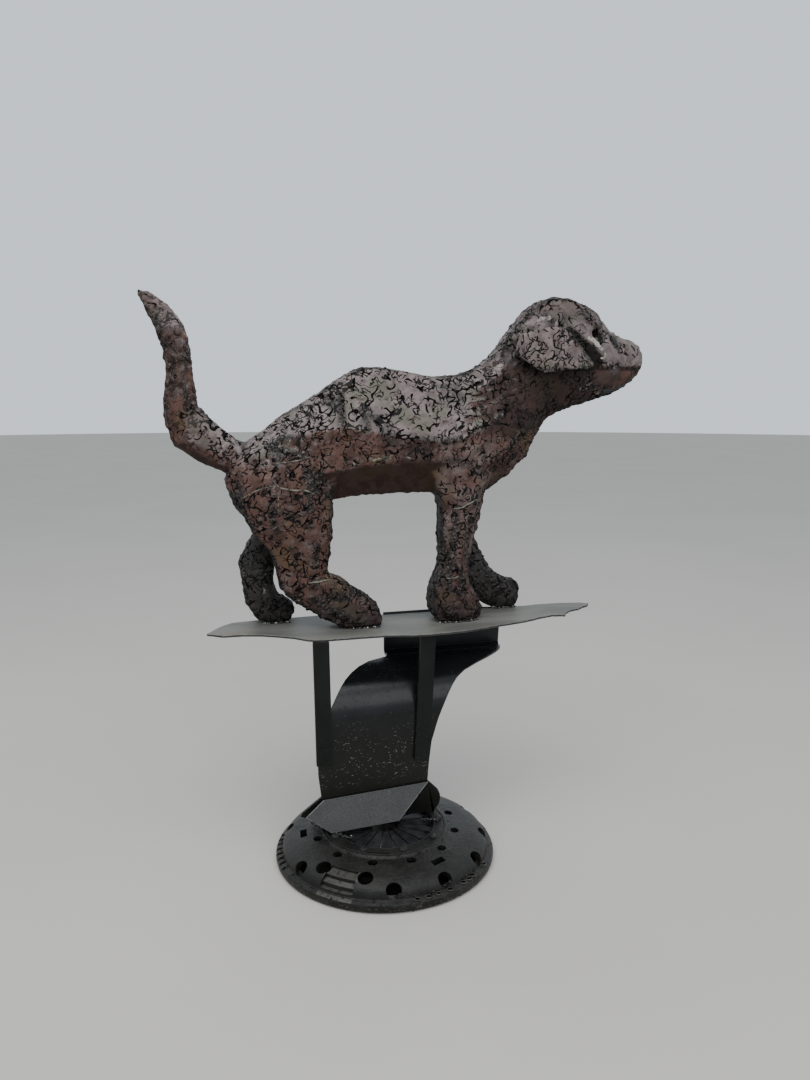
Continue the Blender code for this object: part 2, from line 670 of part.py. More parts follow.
def dog():
    body = dog_trunk()
    body = combined(body, legs() + [tail()] + head_features(), "UNION")
    cutters = eye_sockets() + toe_clefts()
    cutters += [ear("ear_pocket", side, grow=GAP) for side in (-1, 1)]
    body = combined(body, cutters, "DIFFERENCE")
    worn = body.modifiers.new("Worn edges", "BEVEL")
    worn.width = FACET_EDGE
    worn.segments = 1
    worn.limit_method = "ANGLE"
    worn.angle_limit = math.radians(24)
    worn.use_clamp_overlap = True
    return body


def main():
    clear_scene()
    black = ("Satin black", BLACK, 0.45, 0.6)
    pieces = [painted(clutch_cover(), "Black cover", BLACK, 0.5, 0.6)]
    pieces.append(painted(pressure_ring(), "Cast black", BLACK, 0.7, 0.6))
    pieces.append(painted(diaphragm_spring(), "Spring black", BLACK, 0.55, 0.7))
    for number in range(1, RIVETS + 1):
        pieces.append(painted(rivet(number), f"Rivet black {number}", BLACK, 0.5, 0.6))
    for piece in (support_panel(), rear_gusset()):
        pieces.append(painted(piece, *black))
    pieces.append(painted(bar("left_bar", -0.0735, -0.0020, 0.1185), "Bar black", BLACK, 0.5, 0.6))
    pieces.append(painted(bar("right_bar", 0.0495, 0.0080, 0.1130), "Bar black 2", BLACK, 0.5, 0.6))
    pieces.append(painted(front_gusset(), "Gusset grey", GREY, 0.45, 0.7))
    pieces.append(painted(tray_plate(), "Tray grey", (0.11, 0.105, 0.095), 0.6, 0.5))
    pieces.append(painted(dog(), "Scrap skin", MAROON, 0.6, 0.6))
    for name, side in (("ear_right", -1), ("ear_left", 1)):
        pieces.append(painted(ear(name, side), f"Scrap skin {name}", MAROON, 0.6, 0.6))
    for piece in pieces:
        piece.data.transform(Matrix.Translation((BASE_X, BASE_Y, 0.0)))


main()
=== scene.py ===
"""Looks of a scrap metal dog: a walking dog welded from slivers of scrap, on a torch-cut tray
carried by a bent black panel over a car clutch cover. Run as a script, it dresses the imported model."""

import math
import random

import bmesh
import bpy
import numpy as np
from bpy.props import FloatProperty, FloatVectorProperty, IntProperty, PointerProperty
from mathutils import Matrix, Vector, kdtree
from mathutils.bvhtree import BVHTree


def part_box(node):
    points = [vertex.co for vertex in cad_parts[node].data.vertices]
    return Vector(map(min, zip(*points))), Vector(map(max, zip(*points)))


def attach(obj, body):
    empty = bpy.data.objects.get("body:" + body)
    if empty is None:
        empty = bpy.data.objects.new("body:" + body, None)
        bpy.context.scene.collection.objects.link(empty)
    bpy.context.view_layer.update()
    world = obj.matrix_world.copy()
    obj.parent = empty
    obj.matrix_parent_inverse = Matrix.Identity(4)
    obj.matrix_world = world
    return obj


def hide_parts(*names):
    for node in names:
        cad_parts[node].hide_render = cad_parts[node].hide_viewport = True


bl_info = {
    "name": "Scrap Metal Dog",
    "version": (1, 0, 0),
    "blender": (4, 5, 0),
    "location": "3D View > Sidebar > Scrap Dog",
    "description": "Dresses a scrap metal dog sculpture and sets its stage",
    "category": "Object",
}

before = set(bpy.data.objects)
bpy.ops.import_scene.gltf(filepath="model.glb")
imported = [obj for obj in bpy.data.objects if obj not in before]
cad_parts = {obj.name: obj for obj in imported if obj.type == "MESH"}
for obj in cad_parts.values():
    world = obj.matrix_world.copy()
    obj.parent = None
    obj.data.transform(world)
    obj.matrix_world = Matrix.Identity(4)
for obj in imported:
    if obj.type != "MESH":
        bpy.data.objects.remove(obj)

# The clutch's axis, the tray and the dog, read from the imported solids.
COVER_LOW, COVER_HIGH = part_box("clutch_cover")
AXIS_X = (COVER_LOW.x + COVER_HIGH.x) / 2
AXIS_Y = (COVER_LOW.y + COVER_HIGH.y) / 2
TRAY_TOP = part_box("tray_plate")[1].z
DOG_OFFSET = 0.0865  # from the clutch's axis to the dog's mid plane
DOG_MID_Y = AXIS_Y + DOG_OFFSET
DOG_HIGH_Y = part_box("dog")[1].y
RIVETS = [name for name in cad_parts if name.startswith("rivet_")]
SHARP_DEGREES = 32  # edges bent more than this are sharp
SHORT_STEP = 0.0022  # between the points along a strip or a torn edge
EYE_X, EYE_Z = 0.2925, 0.6410
TAIL_ROOT = 0.195  # how far behind the clutch's axis the tail starts


def placed(x, y, z):
    """A point measured from the clutch's axis on the floor, in the model's frame."""
    return Vector((AXIS_X + x, AXIS_Y + y, z))


def around(radius, degrees, z):
    """A point on a circle about the clutch's axis."""
    turn = math.radians(degrees)
    return placed(radius * math.cos(turn), radius * math.sin(turn), z)


# ------------------------------------------------------------------ settings


def length_setting(name, description, default, low, high):
    return FloatProperty(
        name=name, description=description, default=default, min=low, max=high, unit="LENGTH")


def power_setting(name, description, default):
    return FloatProperty(name=name, description=description, default=default, min=0.0, unit="POWER")


def colour_setting(name, description, default):
    return FloatVectorProperty(
        name=name, description=description, default=default, min=0.0, max=1.0, subtype="COLOR")


class SkinSettings(bpy.types.PropertyGroup):
    face_size: length_setting(
        "Face Size", "Size of the faces that the skin is rebuilt with", 0.0032, 0.002, 0.008)
    crevice_spacing: length_setting(
        "Crevice Spacing", "How far apart the gaps between slivers run", 0.0098, 0.005, 0.04)
    crevice_width: length_setting(
        "Crevice Width", "Width of a gap between two slivers", 0.0026, 0.0005, 0.004)
    crevice_depth: length_setting(
        "Crevice Depth", "Depth of a gap between two slivers", 0.0020, 0.0, 0.004)
    relief: length_setting("Relief", "Height of the hammered lumps", 0.0012, 0.0, 0.003)
    maroon: colour_setting("Maroon", "Rusted skin on the flanks and legs", (0.082, 0.044, 0.0355))
    # Ash pink goes on planes that face up: partly weathered tone, partly painted light.
    ash_pink: colour_setting(
        "Ash Pink", "Weathered skin on planes that face the sky", (0.158, 0.129, 0.124))
    ochre: colour_setting("Ochre", "Patches of yellow rust", (0.082, 0.052, 0.029))
    # Dark moss is also the colour of painted shade on the far legs, the throat and behind the ears.
    moss_and_painted_shade: colour_setting(
        "Dark Moss", "Blackish green in the hollows and on the lower legs", (0.026, 0.028, 0.027))


class StandSettings(bpy.types.PropertyGroup):
    edge_wear: length_setting(
        "Edge Wear", "Width of the worn edge of plates and bars", 0.0005, 0.0001, 0.002)
    panel_black: colour_setting(
        "Panel Black", "Half-gloss paint of the bent panel", (0.0052, 0.0062, 0.0068))
    gusset_grey: colour_setting(
        "Gusset Grey", "Scuffed plate in front of the panel's foot", (0.0315, 0.0315, 0.0312))
    bar_black: colour_setting("Bar Black", "Satin paint of the two flat bars", (0.0052, 0.0060, 0.0053))
    tray_grey: colour_setting("Tray Grey", "Bare sheet under the dog's feet", (0.120, 0.118, 0.105))


class ClutchSettings(bpy.types.PropertyGroup):
    steps: IntProperty(
        name="Steps", description="Faces around the turned pieces", default=168, min=48, max=360)
    fingers: IntProperty(
        name="Fingers", description="Fingers of the spring disc", default=18, min=6, max=36)
    cover_black: colour_setting(
        "Cover Black", "Satin paint of the pressed cover", (0.0090, 0.0088, 0.0078))


class StageSettings(bpy.types.PropertyGroup):
    lens: FloatProperty(
        name="Lens", description="Focal length of the camera", default=28.0, min=10.0, max=200.0,
        unit="CAMERA")
    key_power: power_setting("Key Power", "Power of the soft box overhead", 50.0)
    fill_power: power_setting("Front Power", "Power of the soft box in front", 13.0)
    floor_colour: colour_setting("Floor", "Pale floor", (0.44, 0.42, 0.39))
    sky_colour: colour_setting("Sky", "Pale surroundings", (0.76, 0.82, 0.88))


def settings():
    return bpy.context.scene.scrap_dog


# ------------------------------------------------------------------ finishes


class Finish:
    """A node material built up from named layers. Sizes are in metres."""

    def __init__(self, name, roughness, metallic=0.0, specular=0.5):
        self.material = bpy.data.materials.new(name)
        self.material.use_nodes = True
        self.shader = self.material.node_tree.nodes["Principled BSDF"]
        self.fill(self.shader, {
            "Roughness": roughness, "Metallic": metallic, "Specular IOR Level": specular})
        self.place = self.add("TexCoord").outputs["Object"]

    def fill(self, node, inputs):
        for key, value in dict(inputs).items():
            socket = node.inputs[key]
            if isinstance(value, bpy.types.NodeSocket):
                self.material.node_tree.links.new(value, socket)
            elif hasattr(value, "__len__") and len(value) == 3 and len(socket.default_value) == 4:
                socket.default_value = (*value, 1.0)
            else:
                socket.default_value = value

    def add(self, kind, inputs=(), **choices):
        node = self.material.node_tree.nodes.new("ShaderNode" + kind)
        for key, value in choices.items():
            setattr(node, key, value)
        self.fill(node, inputs)
        return node

    def noise(self, size, detail=2.0, rough=0.5, warp=0.0, stretch=None):
        place = self.place
        if stretch:
            place = self.add("Mapping", {"Vector": place, "Scale": stretch}).outputs["Vector"]
        return self.add("TexNoise", {
            "Vector": place, "Scale": 1.0 / size, "Detail": detail, "Roughness": rough,
            "Distortion": warp}).outputs["Fac"]

    def math(self, operation, a, b=0.0):
        return self.add("Math", {0: a, 1: b}, operation=operation).outputs[0]

    def times(self, first, *others):
        for other in others:
            first = self.math("MULTIPLY", first, other)
        return first

    def step(self, value, low, high):
        """0 below low and 1 above high, eased between; it falls instead where low is the higher."""
        falls = low > high
        return self.add("MapRange", {
            "Value": value, "From Min": min(low, high), "From Max": max(low, high),
            "To Min": 1.0 if falls else 0.0, "To Max": 0.0 if falls else 1.0,
        }, interpolation_type="SMOOTHSTEP").outputs["Result"]

    def patches(self, low, high, *noise):
        """Soft-edged patches, from a noise and where it steps from 0 to 1."""
        return self.step(self.noise(*noise), low, high)

    def mix(self, share, first, second):
        return self.add("Mix", {"Factor": share, 6: first, 7: second}, data_type="RGBA").outputs[2]

    def layer(self, base, colour, *shares):
        """A colour laid over a base, as strong as the shares multiplied together."""
        return self.mix(self.times(*shares), base, colour)

    def mottled(self, value, low, high, colour, dark, light):
        """One colour in a darker and a lighter tint."""
        return self.mix(self.step(value, low, high), tinted(colour, dark), tinted(colour, light))

    def mask(self, name):
        return self.add("Attribute", attribute_name=name).outputs["Fac"]

    def rise(self, socket):
        """The upward share of a normal or a place."""
        return self.add("SeparateXYZ", {0: socket}).outputs["Z"]

    def upward(self):
        """How much the surface faces the sky."""
        return self.rise(self.add("NewGeometry").outputs["Normal"])

    def height(self):
        return self.rise(self.place)

    def bump(self, height, distance, strength=1.0, normal=None):
        inputs = {"Height": height, "Distance": distance, "Strength": strength}
        if normal is not None:
            inputs["Normal"] = normal
        return self.add("Bump", inputs).outputs["Normal"]

    def done(self, colour, roughness=None, normal=None):
        """The material with its colour, its roughness as a value and its range, and its bump."""
        inputs = {"Base Color": colour}
        if roughness:
            value, low, high = roughness
            inputs["Roughness"] = self.add(
                "MapRange", {"Value": value, "To Min": low, "To Max": high}).outputs["Result"]
        if normal:
            inputs["Normal"] = normal
        self.fill(self.shader, inputs)
        return self.material


def tinted(colour, factor):
    return tuple(min(1.0, channel * factor) for channel in colour)


def scrap_finish(skin):
    """Rusted slivers: maroon below, ash pink above, which is partly painted light, with ochre, dark moss,
    bare scrapes, and painted shade under the body, in its hollows and in the gaps.
    """
    f = Finish("Scrap_Skin", 0.6, 0.0, 0.14)
    blotch = f.noise(0.020, 3.0, 0.6)
    colour = f.mottled(blotch, 0.35, 0.68, skin.maroon, 0.62, 1.25)
    colour = f.layer(colour, (0.095, 0.068, 0.062), f.patches(0.54, 0.70, 0.012))
    colour = f.layer(colour, skin.ochre, f.mask("ochre"))
    # Ash pink on planes that face up: weathered tone and painted light.
    ash_and_painted_light = f.mottled(f.noise(0.010, 3.0), 0.35, 0.65, skin.ash_pink, 0.70, 1.15)
    ash_and_painted_light = f.layer(ash_and_painted_light, (0.112, 0.102, 0.084), f.patches(0.52, 0.66, 0.034))
    colour = f.layer(colour, ash_and_painted_light, f.mask("ash_and_painted_light"))
    # Dark moss, and painted shade on the far legs, the throat and behind the ears.
    colour = f.layer(colour, skin.moss_and_painted_shade, f.mask("moss_and_painted_shade"))
    slag = f.mix(f.patches(0.50, 0.64, 0.0030, 2.0, 0.6), (0.009, 0.010, 0.010), (0.085, 0.080, 0.070))
    colour = f.layer(colour, slag, f.mask("slag"), 0.85)
    # Thin gaps between the slivers, broken into short hooks, painted near black: painted shade in the gaps.
    worked = f.math("SUBTRACT", 1.0, f.mask("calm"))
    apart = f.math("ABSOLUTE", f.math("SUBTRACT", f.noise(0.0125, 0.4, 0.4, 1.8), 0.5))
    line = f.step(f.math("SUBTRACT", apart, f.times(f.mask("ash_and_painted_light"), 0.006)), 0.060, 0.046)
    hooks = f.times(line, f.patches(0.45, 0.49, 0.0160, 0.5))
    gaps = f.times(f.math("MAXIMUM", f.patches(0.72, 0.76, 0.0046, 1.0), hooks), worked)
    colour = f.layer(colour, (0.0040, 0.0032, 0.0030), gaps, 0.97)
    # Pale flecks between the gaps, where the torch ran.
    flecks = f.times(f.patches(0.62, 0.70, 0.0036), f.math("SUBTRACT", worked, gaps))
    colour = f.layer(colour, tinted(skin.ash_pink, 1.2), flecks, 0.22)
    # Painted shade under the body and in its hollows, with ragged edges from a noise.
    soot_and_painted_shade = f.mask("soot_and_painted_shade")
    torn = f.math("ADD", soot_and_painted_shade, f.times(f.noise(0.0050), 0.30))
    colour = f.layer(colour, (0.0095, 0.0066, 0.0058), f.math("MAXIMUM", soot_and_painted_shade, f.step(torn, 0.80, 0.90)))
    scrape = f.patches(0.48, 0.58, 0.0048, 2.0, 0.6, 0.8)
    colour = f.layer(colour, (0.420, 0.390, 0.365), f.mask("bare"), scrape)
    grain = f.times(f.noise(0.0017, 2.0, 0.65), f.math("ADD", f.mask("slag"), 0.35))
    rough = f.math("ADD", grain, f.times(gaps, -0.8))
    bump = f.bump(rough, 0.0009, 0.9, f.bump(f.noise(0.006), 0.0012, 0.6))
    return f.done(colour, (blotch, 0.45, 0.75), bump)


def crevice_finish():
    """The bottom of a gap between slivers, near black: painted shade in the gap."""
    f = Finish("Crevice_Dark", 0.9, 0.0, 0.1)
    return f.done(f.mix(f.patches(0.4, 0.6, 0.004), (0.004, 0.0035, 0.0035), (0.010, 0.008, 0.0075)))


def weld_finish():
    """Weld metal: bright beads with soot between them."""
    f = Finish("Weld_Bead", 0.42, 0.35)
    colour = f.mix(f.patches(0.46, 0.56, 0.0032, 3.0, 0.6), (0.050, 0.048, 0.045), (0.420, 0.405, 0.380))
    return f.done(colour, (f.noise(0.003), 0.35, 0.65), f.bump(f.noise(0.0015), 0.0004, 0.8))


def slag_finish():
    """Burnt weld slag: black and knobbly with a few glints."""
    f = Finish("Weld_Slag", 0.45, 0.2)
    grain = f.noise(0.0020, 2.0, 0.6)
    colour = f.mix(f.step(grain, 0.60, 0.72), (0.010, 0.010, 0.010), (0.090, 0.085, 0.078))
    return f.done(colour, (f.noise(0.003), 0.30, 0.65), f.bump(grain, 0.0005, 0.8))


def strip_finish(name, colour, sooty=0.48):
    """A strip of scrap or a run of weld, sooty in patches."""
    f = Finish(name, 0.5, 0.25, 0.4)
    soot_and_painted_shade = f.patches(sooty - 0.08, sooty + 0.08, 0.0042, 3.0, 0.65)
    base = f.mix(soot_and_painted_shade, tinted(colour, 0.22), colour)
    base = f.layer(base, tinted(colour, 0.35), f.patches(0.60, 0.70, 0.0016))
    return f.done(base, (f.noise(0.003), 0.40, 0.65), f.bump(f.noise(0.0018), 0.0005, 0.8))


def worn_edge_finish(name, paint, metal, share):
    """The edge of a painted plate, rubbed through to the metal in places."""
    f = Finish(name, 0.42, 0.3)
    rubbed = f.patches(0.62 - 0.3 * share, 0.78 - 0.3 * share, 0.007, 3.0, 0.65)
    return f.done(f.mix(rubbed, tinted(paint, 1.3), metal), (f.noise(0.004), 0.35, 0.60))


def bar_finish(colour):
    """Olive black satin with ground dust low down."""
    f = Finish("Bar_Paint", 0.5, 0.0, 0.2)
    cloud = f.noise(0.035, 4.0, 0.6)
    base = f.mottled(cloud, 0.35, 0.70, colour, 0.75, 1.35)
    low = f.step(f.height(), 0.200, 0.110)
    base = f.layer(base, (0.16, 0.14, 0.11), f.patches(0.62, 0.72, 0.0032, 2.0, 0.7), low, 0.3)
    bump = f.bump(f.noise(0.0025), 0.0002, 0.35, f.bump(cloud, 0.0015, 0.25))
    return f.done(base, (f.noise(0.012, 3.0, 0.6), 0.42, 0.66), bump)


def panel_finish(colour):
    """Half-gloss black sheet, speckled with splashes towards its foot, with a painted reflection of the
    ground that makes it browner low down, and painted light near its top.
    """
    f = Finish("Panel_Paint", 0.34, 0.0, 0.24)
    cloud = f.noise(0.045, 3.0, 0.55)
    base = f.mottled(cloud, 0.35, 0.70, colour, 0.8, 1.5)
    # Browner towards the foot: a painted reflection of the ground in front.
    base = f.layer(base, (0.0090, 0.0090, 0.0068), f.step(f.height(), 0.195, 0.110), 0.85)
    # Lighter near the top, under the tray: painted light.
    base = f.layer(base, tinted(colour, 2.8), f.step(f.height(), 0.212, 0.240))
    splash = f.patches(0.690, 0.715, 0.0023, 1.5, 0.5, 0.0, (0.60, 1.0, 2.2))
    band = f.times(f.step(f.height(), 0.190, 0.130), f.step(f.height(), 0.080, 0.095))
    base = f.layer(base, (0.26, 0.25, 0.21), splash, band, f.patches(0.34, 0.52, 0.030), 0.80)
    scar = f.patches(0.60, 0.66, 0.0050, 3.0, 0.7, 0.8)
    bump = f.bump(scar, 0.0003, 0.5, f.bump(cloud, 0.0016, 0.25))
    return f.done(base, (f.noise(0.018, 4.0, 0.65), 0.17, 0.32), bump)


def gusset_finish(colour):
    """Grey plate with a fine rolled grain."""
    f = Finish("Gusset_Plate", 0.5, 0.2, 0.4)
    cloud = f.noise(0.030, 4.0, 0.6)
    base = f.mottled(cloud, 0.34, 0.68, colour, 0.80, 1.22)
    base = f.mix(f.patches(0.38, 0.48, 0.0016, 2.0, 0.7), tinted(colour, 0.45), base)
    # Pale specks: grain, partly painted glints.
    base = f.layer(base, tinted(colour, 3.2), f.patches(0.66, 0.74, 0.0022, 2.0, 0.7), 0.45)
    return f.done(base, (cloud, 0.42, 0.64), f.bump(f.noise(0.0018, 3.0, 0.7), 0.0004, 0.7))


def tray_finish(colour):
    """Bare sheet: grey brown with stains, a little rust and dull streaks along its length."""
    f = Finish("Tray_Sheet", 0.55, 0.15, 0.45)
    cloud = f.noise(0.060, 4.0, 0.6, 0.4, (0.5, 1.4, 1.0))
    base = f.mottled(cloud, 0.34, 0.66, colour, 0.72, 1.16)
    base = f.layer(base, (0.150, 0.120, 0.080), f.patches(0.56, 0.70, 0.075, 3.0, 0.6, 0.6), 0.50)
    streak = f.patches(0.56, 0.68, 0.020, 4.0, 0.65, 0.2, (0.25, 1.5, 1.0))
    base = f.layer(base, (0.068, 0.066, 0.056), streak, 0.40)
    base = f.layer(base, (0.030, 0.028, 0.024), f.patches(0.68, 0.74, 0.0030, 2.0, 0.7), 0.5)
    return f.done(base, (cloud, 0.44, 0.66), f.bump(f.noise(0.0040, 3.0, 0.6), 0.0004, 0.5))


def torch_cut_finish():
    """The burnt edge that a cutting torch leaves: blue black scale with fine ridges."""
    f = Finish("Torch_Cut_Edge", 0.6, 0.3)
    ridges = f.noise(0.0016, 2.0, 0.6, 0.0, (2.5, 2.5, 0.4))
    colour = f.mix(f.step(ridges, 0.4, 0.62), (0.010, 0.010, 0.011), (0.045, 0.042, 0.040))
    return f.done(colour, None, f.bump(ridges, 0.0006, 0.9))


def cover_finish(colour):
    """Satin black pressing with caked dirt and dust on what faces up."""
    f = Finish("Cover_Paint", 0.42, 0.0, 0.20)
    cloud = f.noise(0.030, 4.0, 0.6)
    base = f.mottled(cloud, 0.34, 0.68, colour, 0.65, 1.40)
    dusty = f.times(f.step(f.upward(), 0.50, 0.95), f.patches(0.36, 0.66, 0.020, 4.0, 0.65))
    base = f.layer(base, (0.028, 0.027, 0.022), dusty, 0.30)
    grit = f.times(f.patches(0.56, 0.68, 0.0030, 2.0, 0.7), f.step(f.height(), 0.014, 0.001))
    base = f.layer(base, (0.14, 0.115, 0.080), grit, 0.55)
    base = f.layer(base, (0.075, 0.070, 0.058), f.patches(0.66, 0.72, 0.0026, 2.0, 0.7), 0.45)
    bump = f.bump(f.noise(0.0040, 4.0, 0.7), 0.0011, 0.9, f.bump(cloud, 0.0030, 0.5))
    return f.done(base, (f.noise(0.014, 4.0, 0.65), 0.22, 0.50), bump)


def dark_steel_finish(name, colour, roughness, specular=0.2):
    """Oily dark steel inside the clutch."""
    f = Finish(name, roughness, 0.0, specular)
    cloud = f.noise(0.016, 4.0, 0.6)
    base = f.mottled(cloud, 0.35, 0.68, colour, 0.55, 1.4)
    bump = f.bump(f.noise(0.0022, 3.0), 0.0004, 0.5)
    return f.done(base, (cloud, roughness - 0.08, roughness + 0.18), bump)


def floor_finish(colour):
    """A pale floor with faint clouds."""
    f = Finish("Stage_Floor", 0.85, 0.0, 0.2)
    return f.done(f.mix(f.patches(0.3, 0.7, 0.5, 3.0), colour, tinted(colour, 0.96)))


# ------------------------------------------------------------------ mesh helpers


def added(name, data):
    """A new object in the scene."""
    made = bpy.data.objects.new(name, data)
    bpy.context.scene.collection.objects.link(made)
    return made


def linked(name, mesh, materials, slot, *nodes):
    """A piece of the model, riding on the frame's one body. It takes the place of the CAD nodes."""
    piece = added(name, mesh)
    for material in materials:
        mesh.materials.append(material)
    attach(piece, "root")
    if nodes:
        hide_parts(*nodes)
    return piece


def mesh_of(name, shape):
    bmesh.ops.recalc_face_normals(shape, faces=shape.faces)
    mesh = bpy.data.meshes.new(name)
    shape.to_mesh(mesh)
    shape.free()
    return mesh


def welded_copy(node):
    """A CAD node's mesh with its doubled corners merged, for a piece that replaces it."""
    shape = bmesh.new()
    shape.from_mesh(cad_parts[node].data)
    bmesh.ops.remove_doubles(shape, verts=shape.verts, dist=1e-6)
    for edge in shape.edges:
        edge.smooth = True
    return shape


def dog_surface():
    """The dog's form, to find places on its skin."""
    body = welded_copy("dog")
    surface = BVHTree.FromBMesh(body)
    body.free()
    return surface


def smoothed(mesh, degrees=SHARP_DEGREES):
    if "custom_normal" in mesh.attributes:
        mesh.attributes.remove(mesh.attributes["custom_normal"])
    mesh.shade_smooth()
    mesh.set_sharp_from_angle(angle=math.radians(degrees))
    return mesh


def edge_worn(piece, width, segments=2):
    """Rounds the sharp edges of a piece a little. Its last material goes on them."""
    bevel = piece.modifiers.new("Worn edges", "BEVEL")
    bevel.width = width
    bevel.segments = segments
    bevel.limit_method = "ANGLE"
    bevel.angle_limit = math.radians(SHARP_DEGREES)
    bevel.material = len(piece.data.materials) - 1
    flats = piece.modifiers.new("Flats stay flat", "WEIGHTED_NORMAL")
    flats.keep_sharp = True


def evaluated_mesh(piece):
    """The mesh of a piece with its modifiers applied. The piece itself is removed."""
    graph = bpy.context.evaluated_depsgraph_get()
    mesh = bpy.data.meshes.new_from_object(piece.evaluated_get(graph))
    bpy.data.objects.remove(piece, do_unlink=True)
    return mesh


def cut_out(name, body, *cutters):
    """A mesh of the body with the cutters taken out of it, all given as shapes."""
    piece = added("helper", mesh_of(name, body))
    tools = [added("helper", mesh_of("cutter", cutter)) for cutter in cutters]
    for tool in tools:
        boolean = piece.modifiers.new("Cut", "BOOLEAN")
        boolean.operation = "DIFFERENCE"
        boolean.solver = "EXACT"
        boolean.object = tool
    result = evaluated_mesh(piece)
    for tool in tools:
        bpy.data.objects.remove(tool, do_unlink=True)
    return result


def bridged(shape, loops, whole=False, step=1):
    """Adds faces from each loop of points to the next, and from the last to the first if whole. A
    step of -1 goes around the loops the other way."""
    for first, second in zip(loops, loops[1:] + loops[:1] * whole):
        for i in range(len(first)):
            j = (i + step) % len(first)
            shape.faces.new((first[i], first[j], second[j], second[i]))


def turned(shape, profile, steps, start=0.0, stop=360.0):
    """Adds a closed (radius, height) profile turned about the clutch's axis, whole or in part."""
    whole = stop - start >= 360.0
    count = steps if whole else max(2, int(steps * (stop - start) / 360.0))
    loops = []
    for i in range(count if whole else count + 1):
        degrees = start + (stop - start) * i / count
        loops.append([shape.verts.new(around(radius, degrees, z)) for radius, z in profile])
    bridged(shape, loops, whole)
    if not whole:
        shape.faces.new(loops[0])
        shape.faces.new(loops[-1])


def facing_axis(radius, degrees, height, lean=0.0):
    """The place and turn of a tool that stands on the clutch's circle, leaning out from its axis."""
    turn = Matrix.Rotation(math.radians(degrees), 4, "Z")
    return Matrix.Translation(around(radius, degrees, height)) @ turn @ Matrix.Rotation(lean, 4, "Y")


def add_block(shape, size, *where):
    """Adds a box turned to face the clutch's axis."""
    bmesh.ops.create_cube(shape, size=1.0, matrix=facing_axis(*where) @ Matrix.Diagonal((*size, 1.0)))


def add_rod(shape, radius, length, where, sides, squash=1.0):
    """Adds a round bar turned to face the clutch's axis."""
    bmesh.ops.create_cone(
        shape, cap_ends=True, segments=sides, radius1=radius, radius2=radius, depth=length,
        matrix=facing_axis(*where) @ Matrix.Diagonal((1.0, squash, 1.0, 1.0)))


def add_bead(shape, at, size, squash, dice, rounds=2):
    """Adds one lump of weld metal or dirt."""
    turn = Matrix.Rotation(dice.uniform(0, math.tau), 4, "Z")
    scale = Matrix.Diagonal((
        size * dice.uniform(0.8, 1.3), size * dice.uniform(0.8, 1.3), size * squash, 1.0))
    made = bmesh.ops.create_icosphere(
        shape, subdivisions=rounds, radius=1.0, matrix=Matrix.Translation(at) @ turn @ scale)
    for vert in made["verts"]:
        vert.co += (vert.co - Vector(at)) * dice.uniform(-0.14, 0.10)


def add_bead_row(shape, path, height, spacing, sizes, dice, stray, against):
    """Adds lumps of weld metal along a path of (x, y) points measured from the clutch's axis. They
    are moved out to the right side of the piece that they are welded against."""
    for (x0, y0), (x1, y1) in zip(path, path[1:]):
        count = max(1, round(math.hypot(x1 - x0, y1 - y0) / spacing))
        for i in range(count):
            share = (i + dice.uniform(0.2, 0.8)) / count
            at = placed(x0 + (x1 - x0) * share + dice.uniform(-stray, stray),
                        y0 + (y1 - y0) * share + dice.uniform(-stray, stray), height)
            if against:
                well_out = at + Vector((0.0, -0.0500, 0.0030))
                side = against.ray_cast(well_out, Vector((0.0, 1.0, 0.0)))[0]
                if side is None:
                    continue
                at.y = side.y - dice.uniform(0.0005, 0.0030)
            add_bead(shape, at, dice.uniform(*sizes), dice.uniform(0.5, 0.9), dice)


def circle(sides):
    """The points of a circle of radius 1."""
    turns = [math.tau * i / sides for i in range(sides)]
    return [(math.cos(turn), math.sin(turn)) for turn in turns]


def add_ring(shape, at, radius, wire, squash):
    """Adds a raised round lip around a hole."""
    loops = []
    for x, y in circle(14):
        out = Vector((x, y * squash, 0.0))
        loops.append([
            shape.verts.new(at + out * (radius + wire * across) + Vector((0, 0, wire * up)))
            for across, up in circle(6)])
    bridged(shape, loops, whole=True, step=-1)


def stepped(path):
    """Points a short step apart along a path, up to its last point but without it."""
    points = []
    for a, b in zip(path, path[1:]):
        count = max(1, round((b - a).length / SHORT_STEP))
        points += [a.lerp(b, i / count) for i in range(count)]
    return points


def rounded_path(path):
    """The path with its corners cut twice, as points a short step apart."""
    points = [Vector(point) for point in path]
    for _ in range(2):
        cut = [points[0]]
        for a, b in zip(points, points[1:]):
            cut += [a.lerp(b, 0.25), a.lerp(b, 0.75)]
        points = cut + [points[-1]]
    return stepped(points) + [points[-1]]


def add_sliver(shape, surface, path, width, lift, side, dice, blunt=0.25):
    """Adds a ragged strip of metal that lies on one side of the dog along a path of (x, z) points. It
    is widest in the middle and narrows to `blunt` of its width at the ends."""
    spots = []
    for x, z in rounded_path(path):
        well_out = placed(x, DOG_OFFSET + side * 0.15, z)
        spot, normal = surface.ray_cast(well_out, Vector((0.0, -side, 0.0)))[:2]
        if spot is not None:
            spots.append((spot, normal))
    sections = []
    sunk = -0.003
    profile = (
        (-1.0, sunk), (-1.0, lift * 0.5), (-0.45, lift), (0.45, lift), (1.0, lift * 0.5), (1.0, sunk))
    last = len(spots) - 1
    for i, (spot, normal) in enumerate(spots):
        along = (spots[min(i + 1, last)][0] - spots[max(i - 1, 0)][0]).normalized()
        across = along.cross(normal).normalized() * width / 2
        across *= blunt + (1 - blunt) * math.sqrt(max(0.0, math.sin(math.pi * i / last)))
        across *= dice.uniform(0.70, 1.15)
        sections.append([
            shape.verts.new(spot + across * reach + normal * height) for reach, height in profile])
    bridged(shape, sections, step=-1)
    shape.faces.new(sections[0])
    shape.faces.new(sections[-1])


# ------------------------------------------------------------------ the scrap skin


